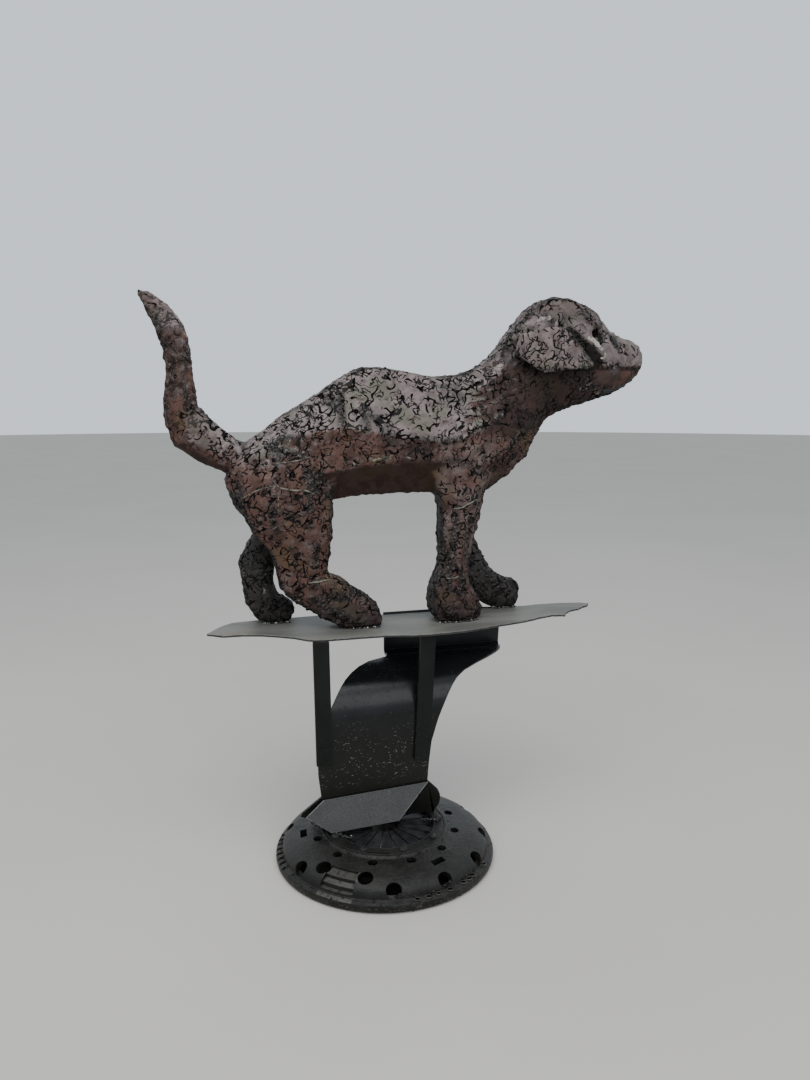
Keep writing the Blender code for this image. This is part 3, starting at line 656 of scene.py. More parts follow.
def lumps(points, size, seed):
    """Smooth noise at each point, about -1 to 1, with lumps about `size` apart."""
    scaled = points / size + seed * 7.31
    base = np.floor(scaled).astype(np.int64)
    inside = scaled - base
    eased = inside**3 * (inside * (inside * 6 - 15) + 10)
    total = np.zeros(len(points))
    for corner in np.ndindex(2, 2, 2):
        cell = base + corner
        offset = inside - corner
        weight = np.prod(np.where(np.array(corner) == 1, eased, 1 - eased), axis=1)
        slope = np.zeros(len(points))
        for axis in range(3):
            # Mixes the cell's place into a number that looks random.
            code = (cell[:, 0] * 73856093) ^ (cell[:, 1] * 19349663) ^ (cell[:, 2] * 83492791)
            code = (code ^ ((seed + 1) * 40503 + axis * 9973)) & 0xFFFFFFFF
            code = ((code ^ (code >> 15)) * 0x2C1B3C6D) & 0xFFFFFFFF
            code = ((code ^ (code >> 12)) * 0x297A2D39) & 0xFFFFFFFF
            code = code ^ (code >> 15)
            slope += (code / 2**31 - 1) * offset[:, axis]
        total += weight * slope
    return total * 1.5


def rising(value, low, high):
    """0 below low and 1 above high, eased between."""
    share = np.clip((value - low) / (high - low), 0, 1)
    return share * share * (3 - 2 * share)


def falling(value, low, high):
    return 1 - rising(value, low, high)


def most(first, *others):
    """The highest of the values at each point."""
    for other in others:
        first = np.maximum(first, other)
    return first


def gathered(faces, values, count):
    """The sum at each point of the values of the faces around it."""
    total = np.zeros((count, values.shape[1]))
    for i in range(3):
        for axis in range(values.shape[1]):
            total[:, axis] += np.bincount(faces[:, i], values[:, axis], count)
    return total


def vertex_normals(points, faces):
    """The direction that the surface faces at each point."""
    a, b, c = (points[faces[:, i]] for i in range(3))
    normals = gathered(faces, np.cross(b - a, c - a), len(points))
    return normals / np.maximum(np.linalg.norm(normals, axis=1), 1e-12)[:, None]


def surface_slope(points, faces, value):
    """How fast a value changes along the surface, at each point."""
    a, b, c = (points[faces[:, i]] for i in range(3))
    normal = np.cross(b - a, c - a)
    double = np.maximum(np.linalg.norm(normal, axis=1), 1e-14)[:, None]
    unit = normal / double
    slope = (
        value[faces[:, 0], None] * np.cross(unit, c - b)
        + value[faces[:, 1], None] * np.cross(unit, a - c)
        + value[faces[:, 2], None] * np.cross(unit, b - a)
    ) / double
    area = gathered(faces, double, len(points))[:, 0]
    total = gathered(faces, slope * double, len(points))
    return np.linalg.norm(total, axis=1) / np.maximum(area, 1e-14)


def unique_edges(faces):
    """Each edge of the triangles once, as two point numbers."""
    pairs = np.concatenate([faces[:, [0, 1]], faces[:, [1, 2]], faces[:, [2, 0]]])
    return np.unique(np.sort(pairs, axis=1), axis=0)


def relaxed(points, edges, rounds, least=1):
    """Points drawn towards the middle of those that edges join them to. Points with fewer edges
    than `least` stay."""
    ends = np.concatenate([edges, edges[:, ::-1]])
    count = np.bincount(ends[:, 0], minlength=len(points))[:, None]
    for _ in range(rounds):
        middle = np.stack([
            np.bincount(ends[:, 0], points[ends[:, 1], axis], len(points)) for axis in range(3)
        ], axis=1) / np.maximum(count, 1)
        points = np.where(count >= least, points + (middle - points) * 0.5, points)
    return points


def split_along(points, faces, fields, key, snap=0.17):
    """Splits the triangles where fields[key] passes through zero, wherever "half" is above zero.
    The new points have the value 0, and every other field is carried to them. A point that is
    almost on the line is put on it instead, which saves a sliver."""
    value, allow = fields[key].copy(), fields["half"]
    total = len(points)
    ends = np.roll(faces, -1, axis=1)
    low, high = np.minimum(faces, ends), np.maximum(faces, ends)

    def crossing():
        return (value[low] * value[high] < 0) & ((allow[low] + allow[high]) > 0)

    crosses = crossing()
    share = value[low] / np.where(crosses, value[low] - value[high], 1.0)
    value[low[crosses & (share < snap)]] = 0.0
    value[high[crosses & (share > 1 - snap)]] = 0.0
    crosses = crossing()
    codes, back = np.unique(low[crosses] * total + high[crosses], return_inverse=True)
    first, second = codes // total, codes % total
    share = value[first] / (value[first] - value[second])
    fields = {**fields, key: value}
    fields = {
        name: np.concatenate([field, field[first] * (1 - share) + field[second] * share])
        for name, field in fields.items()
    }
    fields[key][total:] = 0.0
    share = share[:, None]
    points = np.concatenate([points, points[first] * (1 - share) + points[second] * share])
    made = np.full(faces.shape, -1)
    made[crosses] = back.reshape(-1) + total
    cuts = (made >= 0).sum(axis=1)
    parts = [faces[cuts == 0]]
    for turn in range(3):
        corner = np.roll(faces, -turn, axis=1)
        middle = np.roll(made, -turn, axis=1)
        one = (cuts == 1) & (middle[:, 0] >= 0)
        a, b, c = corner[one].T
        m = middle[one, 0]
        parts += [np.stack([a, m, c], 1), np.stack([m, b, c], 1)]
        two = (cuts == 2) & (middle[:, 0] >= 0) & (middle[:, 2] >= 0)
        a, b, c = corner[two].T
        m, n = middle[two, 0], middle[two, 2]
        parts += [np.stack([a, m, n], 1), np.stack([m, b, c], 1), np.stack([m, c, n], 1)]
    return points, np.concatenate(parts), fields


def gap_lines(points, faces, fields, key, rounds):
    """The faces split where fields[key] is zero inside a gap, with those lines made smoother. Also
    gives which points are on them."""
    points, faces, fields = split_along(points, faces, fields, key)
    on_line = (fields[key] == 0.0) & (fields["half"] > 0)
    lines = unique_edges(faces)
    points = relaxed(points, lines[on_line[lines].all(axis=1)], rounds, least=2)
    return points, faces, fields, on_line


def plane_edges(node, degrees=18):
    """Points along the edges between the planes of a CAD node."""
    shape = welded_copy(node)
    spots = []
    for edge in shape.edges:
        if len(edge.link_faces) == 2 and edge.calc_face_angle(0.0) > math.radians(degrees):
            a, b = edge.verts[0].co, edge.verts[1].co
            count = max(1, int((b - a).length / 0.003))
            spots += [a.lerp(b, (i + 0.5) / count) for i in range(count)]
    shape.free()
    tree = kdtree.KDTree(max(1, len(spots)))
    for i, spot in enumerate(spots):
        tree.insert(spot, i)
    tree.balance()
    return tree


def near_points(points, centre, radius, softness):
    """1 within a radius of a place, fading outside it."""
    away = np.linalg.norm(points - np.array(centre), axis=1)
    return falling(away, radius, radius + softness)


def inside_outline(x, z, corners, softness):
    """1 inside a convex outline of (x, z) corners in the dog's side view, fading at its edge."""
    inside = np.ones(len(x))
    centre_x = sum(corner[0] for corner in corners) / len(corners)
    centre_z = sum(corner[1] for corner in corners) / len(corners)
    for (x0, z0), (x1, z1) in zip(corners, corners[1:] + corners[:1]):
        length = math.hypot(x1 - x0, z1 - z0)
        away = ((x - x0) * (z1 - z0) - (z - z0) * (x1 - x0)) / length
        towards = ((centre_x - x0) * (z1 - z0) - (centre_z - z0) * (x1 - x0)) / length
        inside *= rising(away * math.copysign(1, towards), -softness / 2, softness / 2)
    return inside


def even_faces(node, face_size):
    """The CAD node's form with faces of one size, as points and triangles."""
    body = added("helper", mesh_of(node, welded_copy(node)))
    remesh = body.modifiers.new("Even faces", "REMESH")
    remesh.mode = "VOXEL"
    remesh.voxel_size = face_size
    even = evaluated_mesh(body)
    even.calc_loop_triangles()
    points = np.empty(len(even.vertices) * 3, np.float32)
    even.vertices.foreach_get("co", points)
    faces = np.empty(len(even.loop_triangles) * 3, np.int32)
    even.loop_triangles.foreach_get("vertices", faces)
    bpy.data.meshes.remove(even)
    return points.reshape(-1, 3).astype(float), faces.reshape(-1, 3).astype(np.int64)


def scrap_skin(name, node, skin, face_size, wear, masks, calm, pits=(), seed=0):
    """The CAD node's form in a skin of slivers: even faces, hammered lumps, and gaps cut along
    wandering lines with their bottoms pushed in. Nothing is cut where `calm` is 1. Each pit is a
    place, its radius and how far it is pushed in."""
    def noise(size, number):
        return lumps(points, size, seed + number)

    edges = plane_edges(node)
    points, faces = even_faces(node, face_size)
    points = relaxed(points, unique_edges(faces), 1)
    normals = vertex_normals(points, faces)

    reach = np.array([edges.find(Vector(point))[2] for point in points])
    patches = noise(0.050, 11) + 0.45 * noise(0.017, 12)
    near_edge = falling(reach, 0.002, 0.008)
    slag = near_edge * rising(patches, -0.15, 0.20)
    still = calm(points, normals)
    slag = np.clip(slag + rising(patches, 0.56, 0.78), 0, 1) * (1 - 0.8 * still)
    lift = skin.relief * (
        0.65 * noise(0.012, 1) + 0.45 * noise(0.006, 2)
        + (slag * 1.5 + near_edge * 1.2) * noise(0.0062, 3))
    swell = 0.0008  # makes up for what the even faces lose
    lift = np.clip(lift, -2.0 * skin.relief, 1.6 * skin.relief) * wear + swell
    points = points + normals * lift[:, None]
    for centre, radius, push in pits:
        points = points + near_points(points, centre, radius * 0.4, radius * 0.8)[:, None] * np.array(push)

    # The gaps run where a warped noise is zero, and are as wide as a second noise allows.
    spacing = skin.crevice_spacing
    bend = np.stack([noise(spacing * 0.8, 20 + axis) for axis in range(3)], axis=1)
    warped = points + bend * spacing * 0.45
    wander = lumps(warped, spacing, seed + 31) + 0.16 * noise(spacing * 0.5, 32)
    slope = surface_slope(points, faces, wander)
    across = wander / np.maximum(slope, 0.25 / spacing)
    broken = noise(spacing * 1.2, 41) + 0.45 * noise(spacing * 0.6, 42)
    widest = skin.crevice_width / 2
    half = widest * np.clip(rising(broken, -0.26, 0.02) * 1.1, 0, 1)
    half = half * (1 - still) * (0.5 + 0.5 * wear) * (1 + 0.35 * wear * rising(normals[:, 2], 0.1, 0.4))
    half = np.where(half < 0.16 * skin.crevice_width, -0.0001, half)

    # Each gap is split along its middle first and then along its sides.
    fields = {"across": across, "half": half, "slag": slag}
    points, faces, fields, bottom = gap_lines(points, faces, fields, "across", 2)
    fields["open"] = np.abs(fields["across"]) - fields["half"]
    fields["bottom"] = bottom.astype(float)
    points, faces, fields, _ = gap_lines(points, faces, fields, "open", 1)
    normals = vertex_normals(points, faces)
    sink = (fields["bottom"] == 1.0) * np.clip(fields["half"] / widest, 0, 1)
    points = points - normals * (sink * skin.crevice_depth * wear)[:, None]
    in_gap = (fields["open"][faces] <= 1e-9).all(axis=1) & (fields["half"][faces] > 0).all(axis=1)

    low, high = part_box(node)
    points = np.clip(points, np.array(low), np.array(high))
    mesh = mesh_from(name, points, faces, in_gap)
    values = {"slag": fields["slag"], **masks(points, normals)}
    for key, value in values.items():
        layer = mesh.attributes.new(key, "FLOAT", "POINT")
        layer.data.foreach_set("value", np.clip(value, 0, 1).astype(np.float32))
    return mesh


def mesh_from(name, points, faces, second_material):
    """A mesh of triangles. Those that are marked get its second material."""
    mesh = bpy.data.meshes.new(name)
    mesh.from_pydata(points, [], faces)
    mesh.polygons.foreach_set("material_index", second_material.astype(np.int32))
    return smoothed(mesh, 38)


def smooth_parts(points, normals):
    """The belly's sloping planes, the lower lips and a few plates of the head, which are whole
    sheet, and part of the tail."""
    x, z, up = points[:, 0] - AXIS_X, points[:, 2], normals[:, 2]
    belly = rising(-up, 0.30, 0.50) * (z > 0.425) * (x < 0.14)
    lips = rising(x, 0.292, 0.300) * rising(z, 0.574, 0.580) * falling(z, 0.594, 0.598)
    head = rising(x, 0.19, 0.22) * rising(z, 0.602, 0.610)
    plates = head * rising(lumps(points, 0.026, 58) + 0.64 * rising(x, 0.300, 0.320), 0.08, 0.22)
    return most(belly, plates, lips * falling(x, 0.345, 0.352), 0.35 * rising(-x, TAIL_ROOT, 0.215))


def nowhere(points, normals):
    """A mask that is 0 all over."""
    return np.zeros(len(points))


def dog_masks(points, normals):
    """Where the dog's skin is ash pink, ochre, mossy or bare, with painted light on planes that face up and
    painted shade under the body and in its hollows.
    """
    broad = lumps(points, 0.060, 51)
    small = lumps(points, 0.018, 52)
    fine = lumps(points, 0.007, 56)
    up = normals[:, 2]
    x, z = points[:, 0] - AXIS_X, points[:, 2]
    side = np.abs(points[:, 1] - DOG_MID_Y)

    on_neck = rising(x, 0.115, 0.150)
    # Ash pink: weathered tone, and also painted light, strongest on planes that face up and on the upper
    # body and head.
    ash_and_painted_light = rising(up + 0.08 * small + 0.05 * broad - 0.14 * on_neck, 0.17, 0.32)
    ash_and_painted_light *= 0.10 + 0.90 * rising(z + 0.010 * small, 0.478, 0.500)
    head = rising(z + 0.006 * small + 0.010 * rising(x, 0.285, 0.300), 0.606, 0.614)
    head = most(head * rising(x, 0.20, 0.26), rising(z + 0.006 * small, 0.628, 0.640))
    ash_and_painted_light = most(ash_and_painted_light, 0.95 * head * (up > -0.35))
    ash_and_painted_light = ash_and_painted_light * (1 - 0.50 * rising(z, 0.652, 0.668)) * (1 - 0.20 * rising(up, 0.75, 0.95))
    root = falling(np.abs(x + TAIL_ROOT), 0.018, 0.030) * rising(z + 0.4 * (x + TAIL_ROOT), 0.496, 0.502)
    shoulder = rising(x, 0.070, 0.090) * falling(x, 0.135, 0.165) * rising(z, 0.335, 0.355)
    ash_and_painted_light = most(ash_and_painted_light, 0.75 * root * (z < 0.54),
               0.42 * shoulder * falling(z, 0.500, 0.515) * rising(small, -0.6, 0.4))
    ochre = 0.80 * rising(lumps(points, 0.050, 53) + 0.35 * small, 0.22, 0.48) * (1 - ash_and_painted_light)
    ochre *= falling(x, 0.28, 0.30)

    # The hollow between the ear's front edge and the cheek, and the gap along the ear's back, where shade is
    # painted.
    near_ears = side > 0.012
    hollow = inside_outline(x, z, (
        (0.250, 0.650), (0.266, 0.6425), (0.289, 0.6250), (0.304, 0.6135), (0.307, 0.604),
        (0.296, 0.596), (0.262, 0.594)), 0.003)
    behind = inside_outline(x, z, (
        (0.186, 0.632), (0.176, 0.624), (0.167, 0.606), (0.186, 0.594), (0.205, 0.614)), 0.004)
    above = inside_outline(x, z, ((0.186, 0.650), (0.255, 0.652), (0.255, 0.640), (0.186, 0.638)), 0.002)

    patch = lumps(points, 0.034, 54) + 0.3 * small - 0.4 * head - 0.25 * rising(-x, TAIL_ROOT, 0.215)
    throat = rising(x, 0.190, 0.225) * falling(z, 0.596, 0.604) * rising(z, 0.528, 0.548)
    # Dark moss in random patches, darker low on the legs and on the head top, and painted shade on the far
    # legs, the legs' front and back faces, the throat and behind the ears.
    moss_and_painted_shade = most(
        0.55 * rising(0.322 - z + 0.012 * small, 0.0, 0.030),
        0.85 * (points[:, 1] > DOG_MID_Y + 0.004) * falling(z + 0.01 * small, 0.405, 0.450),
        0.55 * rising(patch, 0.50, 0.74),
        0.85 * rising(np.abs(normals[:, 0]), 0.60, 0.85) * (z < 0.45),
        0.45 * throat * rising(small, -0.5, 0.2),
        0.30 * rising(x, 0.19, 0.22) * rising(z, 0.648, 0.664),
        0.5 * behind * near_ears)

    # Painted shade: on faces that turn down, on the neck under the head, in the crease by the shoulder, in
    # the hollow and gaps by the ears, along the mouth and in the eye pits; also darker low on the legs.
    soot_and_painted_shade = 0.62 * rising(-up + 0.08 * small, 0.26, 0.46) * rising(z, 0.425, 0.435)
    soot_and_painted_shade = most(soot_and_painted_shade, 0.55 * rising(-up, 0.45, 0.9)) * (1 - 0.75 * rising(x, 0.17, 0.22))
    shade = on_neck * rising(z + 0.006 * small, 0.505, 0.525) * (1 - head) * (1 - ash_and_painted_light)
    fold = falling(np.abs(x - 0.055 - 0.25 * (z - 0.50)), 0.010, 0.030)
    mouth = (x > 0.285) & (np.abs(z - 0.5985 - 0.0015 * small) < 0.0020) & (side > 0.006)
    soot_and_painted_shade = most(
        soot_and_painted_shade,
        0.30 * rising(0.326 - z + 0.010 * small, 0.0, 0.014),
        0.66 * shade * (1 - 0.85 * rising(x, 0.288, 0.306)),
        0.58 * fold * falling(z, 0.507, 0.522) * rising(z, 0.45, 0.47),
        0.97 * hollow * near_ears,
        0.55 * most(behind, above) * rising(small, -0.2, 0.4) * near_ears,
        0.75 * mouth)
    # The eye pits, painted near black as shade, and dark spots on the brow.
    for mirror in (-1, 1):
        for spot_x, out, spot_z, radius in (
            (EYE_X, 0.0300, EYE_Z, 0.0050), (0.2950, 0.0275, 0.6490, 0.0036),
            (0.2965, 0.0250, 0.6560, 0.0036), (0.2555, 0.0290, 0.6640, 0.0040),
        ):
            spot = placed(spot_x, DOG_OFFSET + mirror * out, spot_z)
            soot_and_painted_shade = most(soot_and_painted_shade, 0.97 * near_points(points, spot, radius, 0.0025))

    low_edge = falling(np.abs(z - 0.487 - 0.06 * (x + 0.055) * (x < 0.0)), 0.002, 0.006)
    ridge = falling(np.abs(up + 0.08 * small + 0.05 * broad - 0.19), 0.03, 0.07)
    bare = most(
        0.45 * rising(lumps(points, 0.024, 55) + 0.5 * fine, 0.78, 0.98),
        0.25 * low_edge * (x > -0.16) * (x < 0.075) * rising(small, -0.1, 0.4),
        0.26 * ridge * (z > 0.490) * rising(-x, -0.06, 0.0) * (x > -0.19))
    return {"ash_and_painted_light": ash_and_painted_light, "ochre": ochre, "moss_and_painted_shade": moss_and_painted_shade, "soot_and_painted_shade": soot_and_painted_shade, "bare": bare,
            "calm": smooth_parts(points, normals)}


def ear_masks(points, normals):
    small = lumps(points, 0.014, 62)
    return {
        "ash_and_painted_light": 0.80 + 0.20 * small,
        "ochre": 0.3 * rising(small, 0.2, 0.5),
        "moss_and_painted_shade": 0.5 * rising(lumps(points, 0.022, 63), 0.30, 0.55),
        # Painted shade on the ear's faces that turn down.
        "soot_and_painted_shade": 0.85 * rising(-normals[:, 2], 0.5, 0.9),
        "bare": 0.6 * rising(small, 0.50, 0.75),
        "calm": nowhere(points, normals),
    }


# ------------------------------------------------------------------ operators


class BuildSkin(bpy.types.Operator):
    """Build the dog's skin of welded scrap slivers"""

    bl_idname = "scrap_dog.build_skin"
    bl_label = "Dog Skin"

    def execute(self, context):
        skin = settings().skin
        finishes = (scrap_finish(skin), crevice_finish())
        face_size = skin.face_size
        eyes = [(placed(EYE_X, DOG_OFFSET + side * 0.0295, EYE_Z), 0.0055, (0.0, -side * 0.0032, 0.0))
                for side in (-1, 1)]
        mesh = scrap_skin(
            "dog_skin", "dog", skin, face_size, wear=1.0, masks=dog_masks, calm=smooth_parts, pits=eyes)
        linked("dog_skin", mesh, finishes, "scrap_skin", "dog")
        for number, node in enumerate(("ear_right", "ear_left")):
            name = node + "_flap"
            mesh = scrap_skin(
                name, node, skin, 0.0019, wear=0.55, masks=ear_masks, calm=nowhere, seed=70 + number)
            linked(name, mesh, finishes, "scrap_skin", node)
        return {"FINISHED"}


# Strips, seams, slits and scraps on both sides of the dog: a path of (x, z) points, a width and a
# height.
# Pale strips at the cheeks; their pale colour is partly a painted highlight.
BRIGHT_STRIPS = (
    (((0.2800, 0.6355), (0.2880, 0.6330), (0.2960, 0.6265), (0.3040, 0.6190)), 0.0066, 0.0011),
    (((0.3030, 0.6200), (0.3080, 0.6155), (0.3070, 0.6100), (0.3005, 0.6110)), 0.0036, 0.0012),
)
DULL_STRIPS = (
    (((0.214, 0.6545), (0.222, 0.6580), (0.230, 0.6590)), 0.0090, 0.0014),
    (((0.262, 0.6465), (0.266, 0.6525), (0.273, 0.6525), (0.278, 0.6470), (0.274, 0.6415),
      (0.266, 0.6410), (0.262, 0.6465)), 0.0024, 0.0018),
    (((0.2375, 0.6560), (0.2360, 0.6465)), 0.0046, 0.0016),
    (((0.158, 0.5900), (0.164, 0.5970), (0.171, 0.6010)), 0.0090, 0.0014),
)
SEAMS = (
    (((-0.128, 0.4780), (-0.115, 0.4850), (-0.101, 0.4858), (-0.0855, 0.4890), (-0.078, 0.4930)),
     0.0020, 0.0013),
    (((-0.158, 0.4440), (-0.150, 0.4490), (-0.139, 0.4550), (-0.122, 0.4585)), 0.0022, 0.0012),
    (((-0.125, 0.4655), (-0.117, 0.4560), (-0.110, 0.4545), (-0.0985, 0.4520), (-0.087, 0.4530),
      (-0.0735, 0.4460)), 0.0020, 0.0012),
    (((-0.1175, 0.4525), (-0.119, 0.4360), (-0.1193, 0.4145)), 0.0013, 0.0008),
    (((-0.0075, 0.4835), (0.0025, 0.4875), (0.0175, 0.4900)), 0.0026, 0.0014),
    (((0.034, 0.4895), (0.049, 0.4865)), 0.0022, 0.0012),
    (((0.098, 0.4240), (0.109, 0.4245), (0.1165, 0.4290), (0.129, 0.4350)), 0.0020, 0.0012),
    (((0.091, 0.3350), (0.100, 0.3345), (0.108, 0.3370)), 0.0020, 0.0014),
    (((-0.084, 0.3385), (-0.072, 0.3395), (-0.058, 0.3395)), 0.0026, 0.0016),
    (((-0.101, 0.3160), (-0.094, 0.3175)), 0.0032, 0.0014),
)
# Near-black strips in the nose's slits: painted shade.
NOSE_SLITS = (
    (((0.3520, 0.6275), (0.3560, 0.6245), (0.3570, 0.6205)), 0.0020, 0.0018),
    (((0.3610, 0.6240), (0.3625, 0.6195), (0.3600, 0.6150)), 0.0020, 0.0018),
    (((0.3530, 0.6165), (0.3575, 0.6125)), 0.0018, 0.0018),
)
CHIN_SCRAPS = (
    (((0.312, 0.5700), (0.322, 0.5685), (0.331, 0.5700)), 0.0060, 0.0022),
    (((0.331, 0.5745), (0.340, 0.5745), (0.347, 0.5765)), 0.0050, 0.0020),
    (((0.350, 0.5810), (0.358, 0.5840)), 0.0045, 0.0018),
)


class BuildSlivers(bpy.types.Operator):
    """Lay the loose strips and weld seams on the dog"""

    bl_idname = "scrap_dog.build_slivers"
    bl_label = "Strips and Seams"

    def execute(self, context):
        surface = dog_surface()
        skin = settings().skin
        dice = random.Random(11)
        for name, strips, finish in (
            ("bright_strips", BRIGHT_STRIPS, strip_finish("Bright_Strip", (0.380, 0.355, 0.310), 0.44)),
            ("dull_strips", DULL_STRIPS, strip_finish("Dull_Strip", tinted(skin.ash_pink, 1.15))),
            ("weld_seams", SEAMS, strip_finish("Weld_Seam", (0.175, 0.165, 0.135))),
            ("nose_slits", NOSE_SLITS, strip_finish("Nose_Slit", (0.0060, 0.0050, 0.0048))),
            ("chin_scraps", CHIN_SCRAPS, strip_finish("Chin_Scrap", skin.moss_and_painted_shade)),
        ):
            shape = bmesh.new()
            for path, width, lift in strips:
                for side in (-1, 1):
                    add_sliver(shape, surface, path, width, lift, side, dice)
            for corner in shape.verts:
                corner.co.y = min(corner.co.y, DOG_HIGH_Y)
            linked(name, smoothed(mesh_of(name, shape), 40), (finish,), "scrap_skin")
        return {"FINISHED"}


# Rows of weld metal around the paws and along the plates' feet, as (x, y) points from the
# clutch's axis.
PAW_WELDS = (
    ((-0.0285, 0.0550), (-0.0220, 0.0483), (-0.0140, 0.0487), (-0.0058, 0.0513), (0.0055, 0.0557)),
    ((0.0773, 0.0749), (0.0837, 0.0600), (0.0934, 0.0523), (0.1034, 0.0496), (0.1141, 0.0493),
     (0.1287, 0.0558), (0.1460, 0.0727)),
    ((-0.1378, 0.1325), (-0.1298, 0.1215), (-0.1225, 0.1179), (-0.1148, 0.1174), (-0.0970, 0.1300)),
    ((0.1755, 0.1220), (0.1824, 0.1053), (0.1925, 0.1009), (0.2105, 0.1126)),
)
PLATE_WELDS = (
    ((-0.0870, 0.0230), (-0.0753, 0.0018), (-0.0604, -0.0141), (-0.0460, -0.0262)),
    ((0.0480, -0.0030), (0.0560, -0.0075), (0.0660, -0.0105)),
)


class BuildWelds(bpy.types.Operator):
    """Add the weld beads at the paws and the plates' feet"""

    bl_idname = "scrap_dog.build_welds"
    bl_label = "Weld Beads"

    def execute(self, context):
        dice = random.Random(7)
        bright, dark = bmesh.new(), bmesh.new()
        for rows, base, stray, against, layers in (
            (PAW_WELDS, TRAY_TOP, 0.0022, dog_surface(), (
                (bright, 0.0010, 0.0050, (0.0006, 0.0019)), (dark, 0.0006, 0.0024, (0.0009, 0.0022)))),
            (PLATE_WELDS, COVER_HIGH.z, 0.0020, None, (
                (dark, 0.0006, 0.0016, (0.0012, 0.0026)), (bright, 0.0022, 0.0110, (0.0006, 0.0011)))),
        ):
            for row in rows:
                for shape, lift, spacing, sizes in layers:
                    add_bead_row(shape, row, base + lift, spacing, sizes, dice, stray, against)
        for name, shape, finish, slot in (
            ("weld_beads", bright, weld_finish(), "tray_grey"),
            ("weld_slag", dark, slag_finish(), "cover_black"),
        ):
            linked(name, smoothed(mesh_of(name, shape), 60), (finish,), slot)
        return {"FINISHED"}


# The small torn holes in the rim: where around it in degrees, and how far from the axis.
LACE_HOLES = (
    (272.5, 0.1296), (278.5, 0.1294), (284, 0.1290), (291, 0.1294), (300.5, 0.1292), (305, 0.1292),
    (309, 0.1288), (321, 0.1294),
)

# The stepped ledge cut into the cover's shoulder: where around it in degrees, and how far out.
LEDGE_START, LEDGE_END = 221, 240
LEDGE_RADIUS = 0.1045


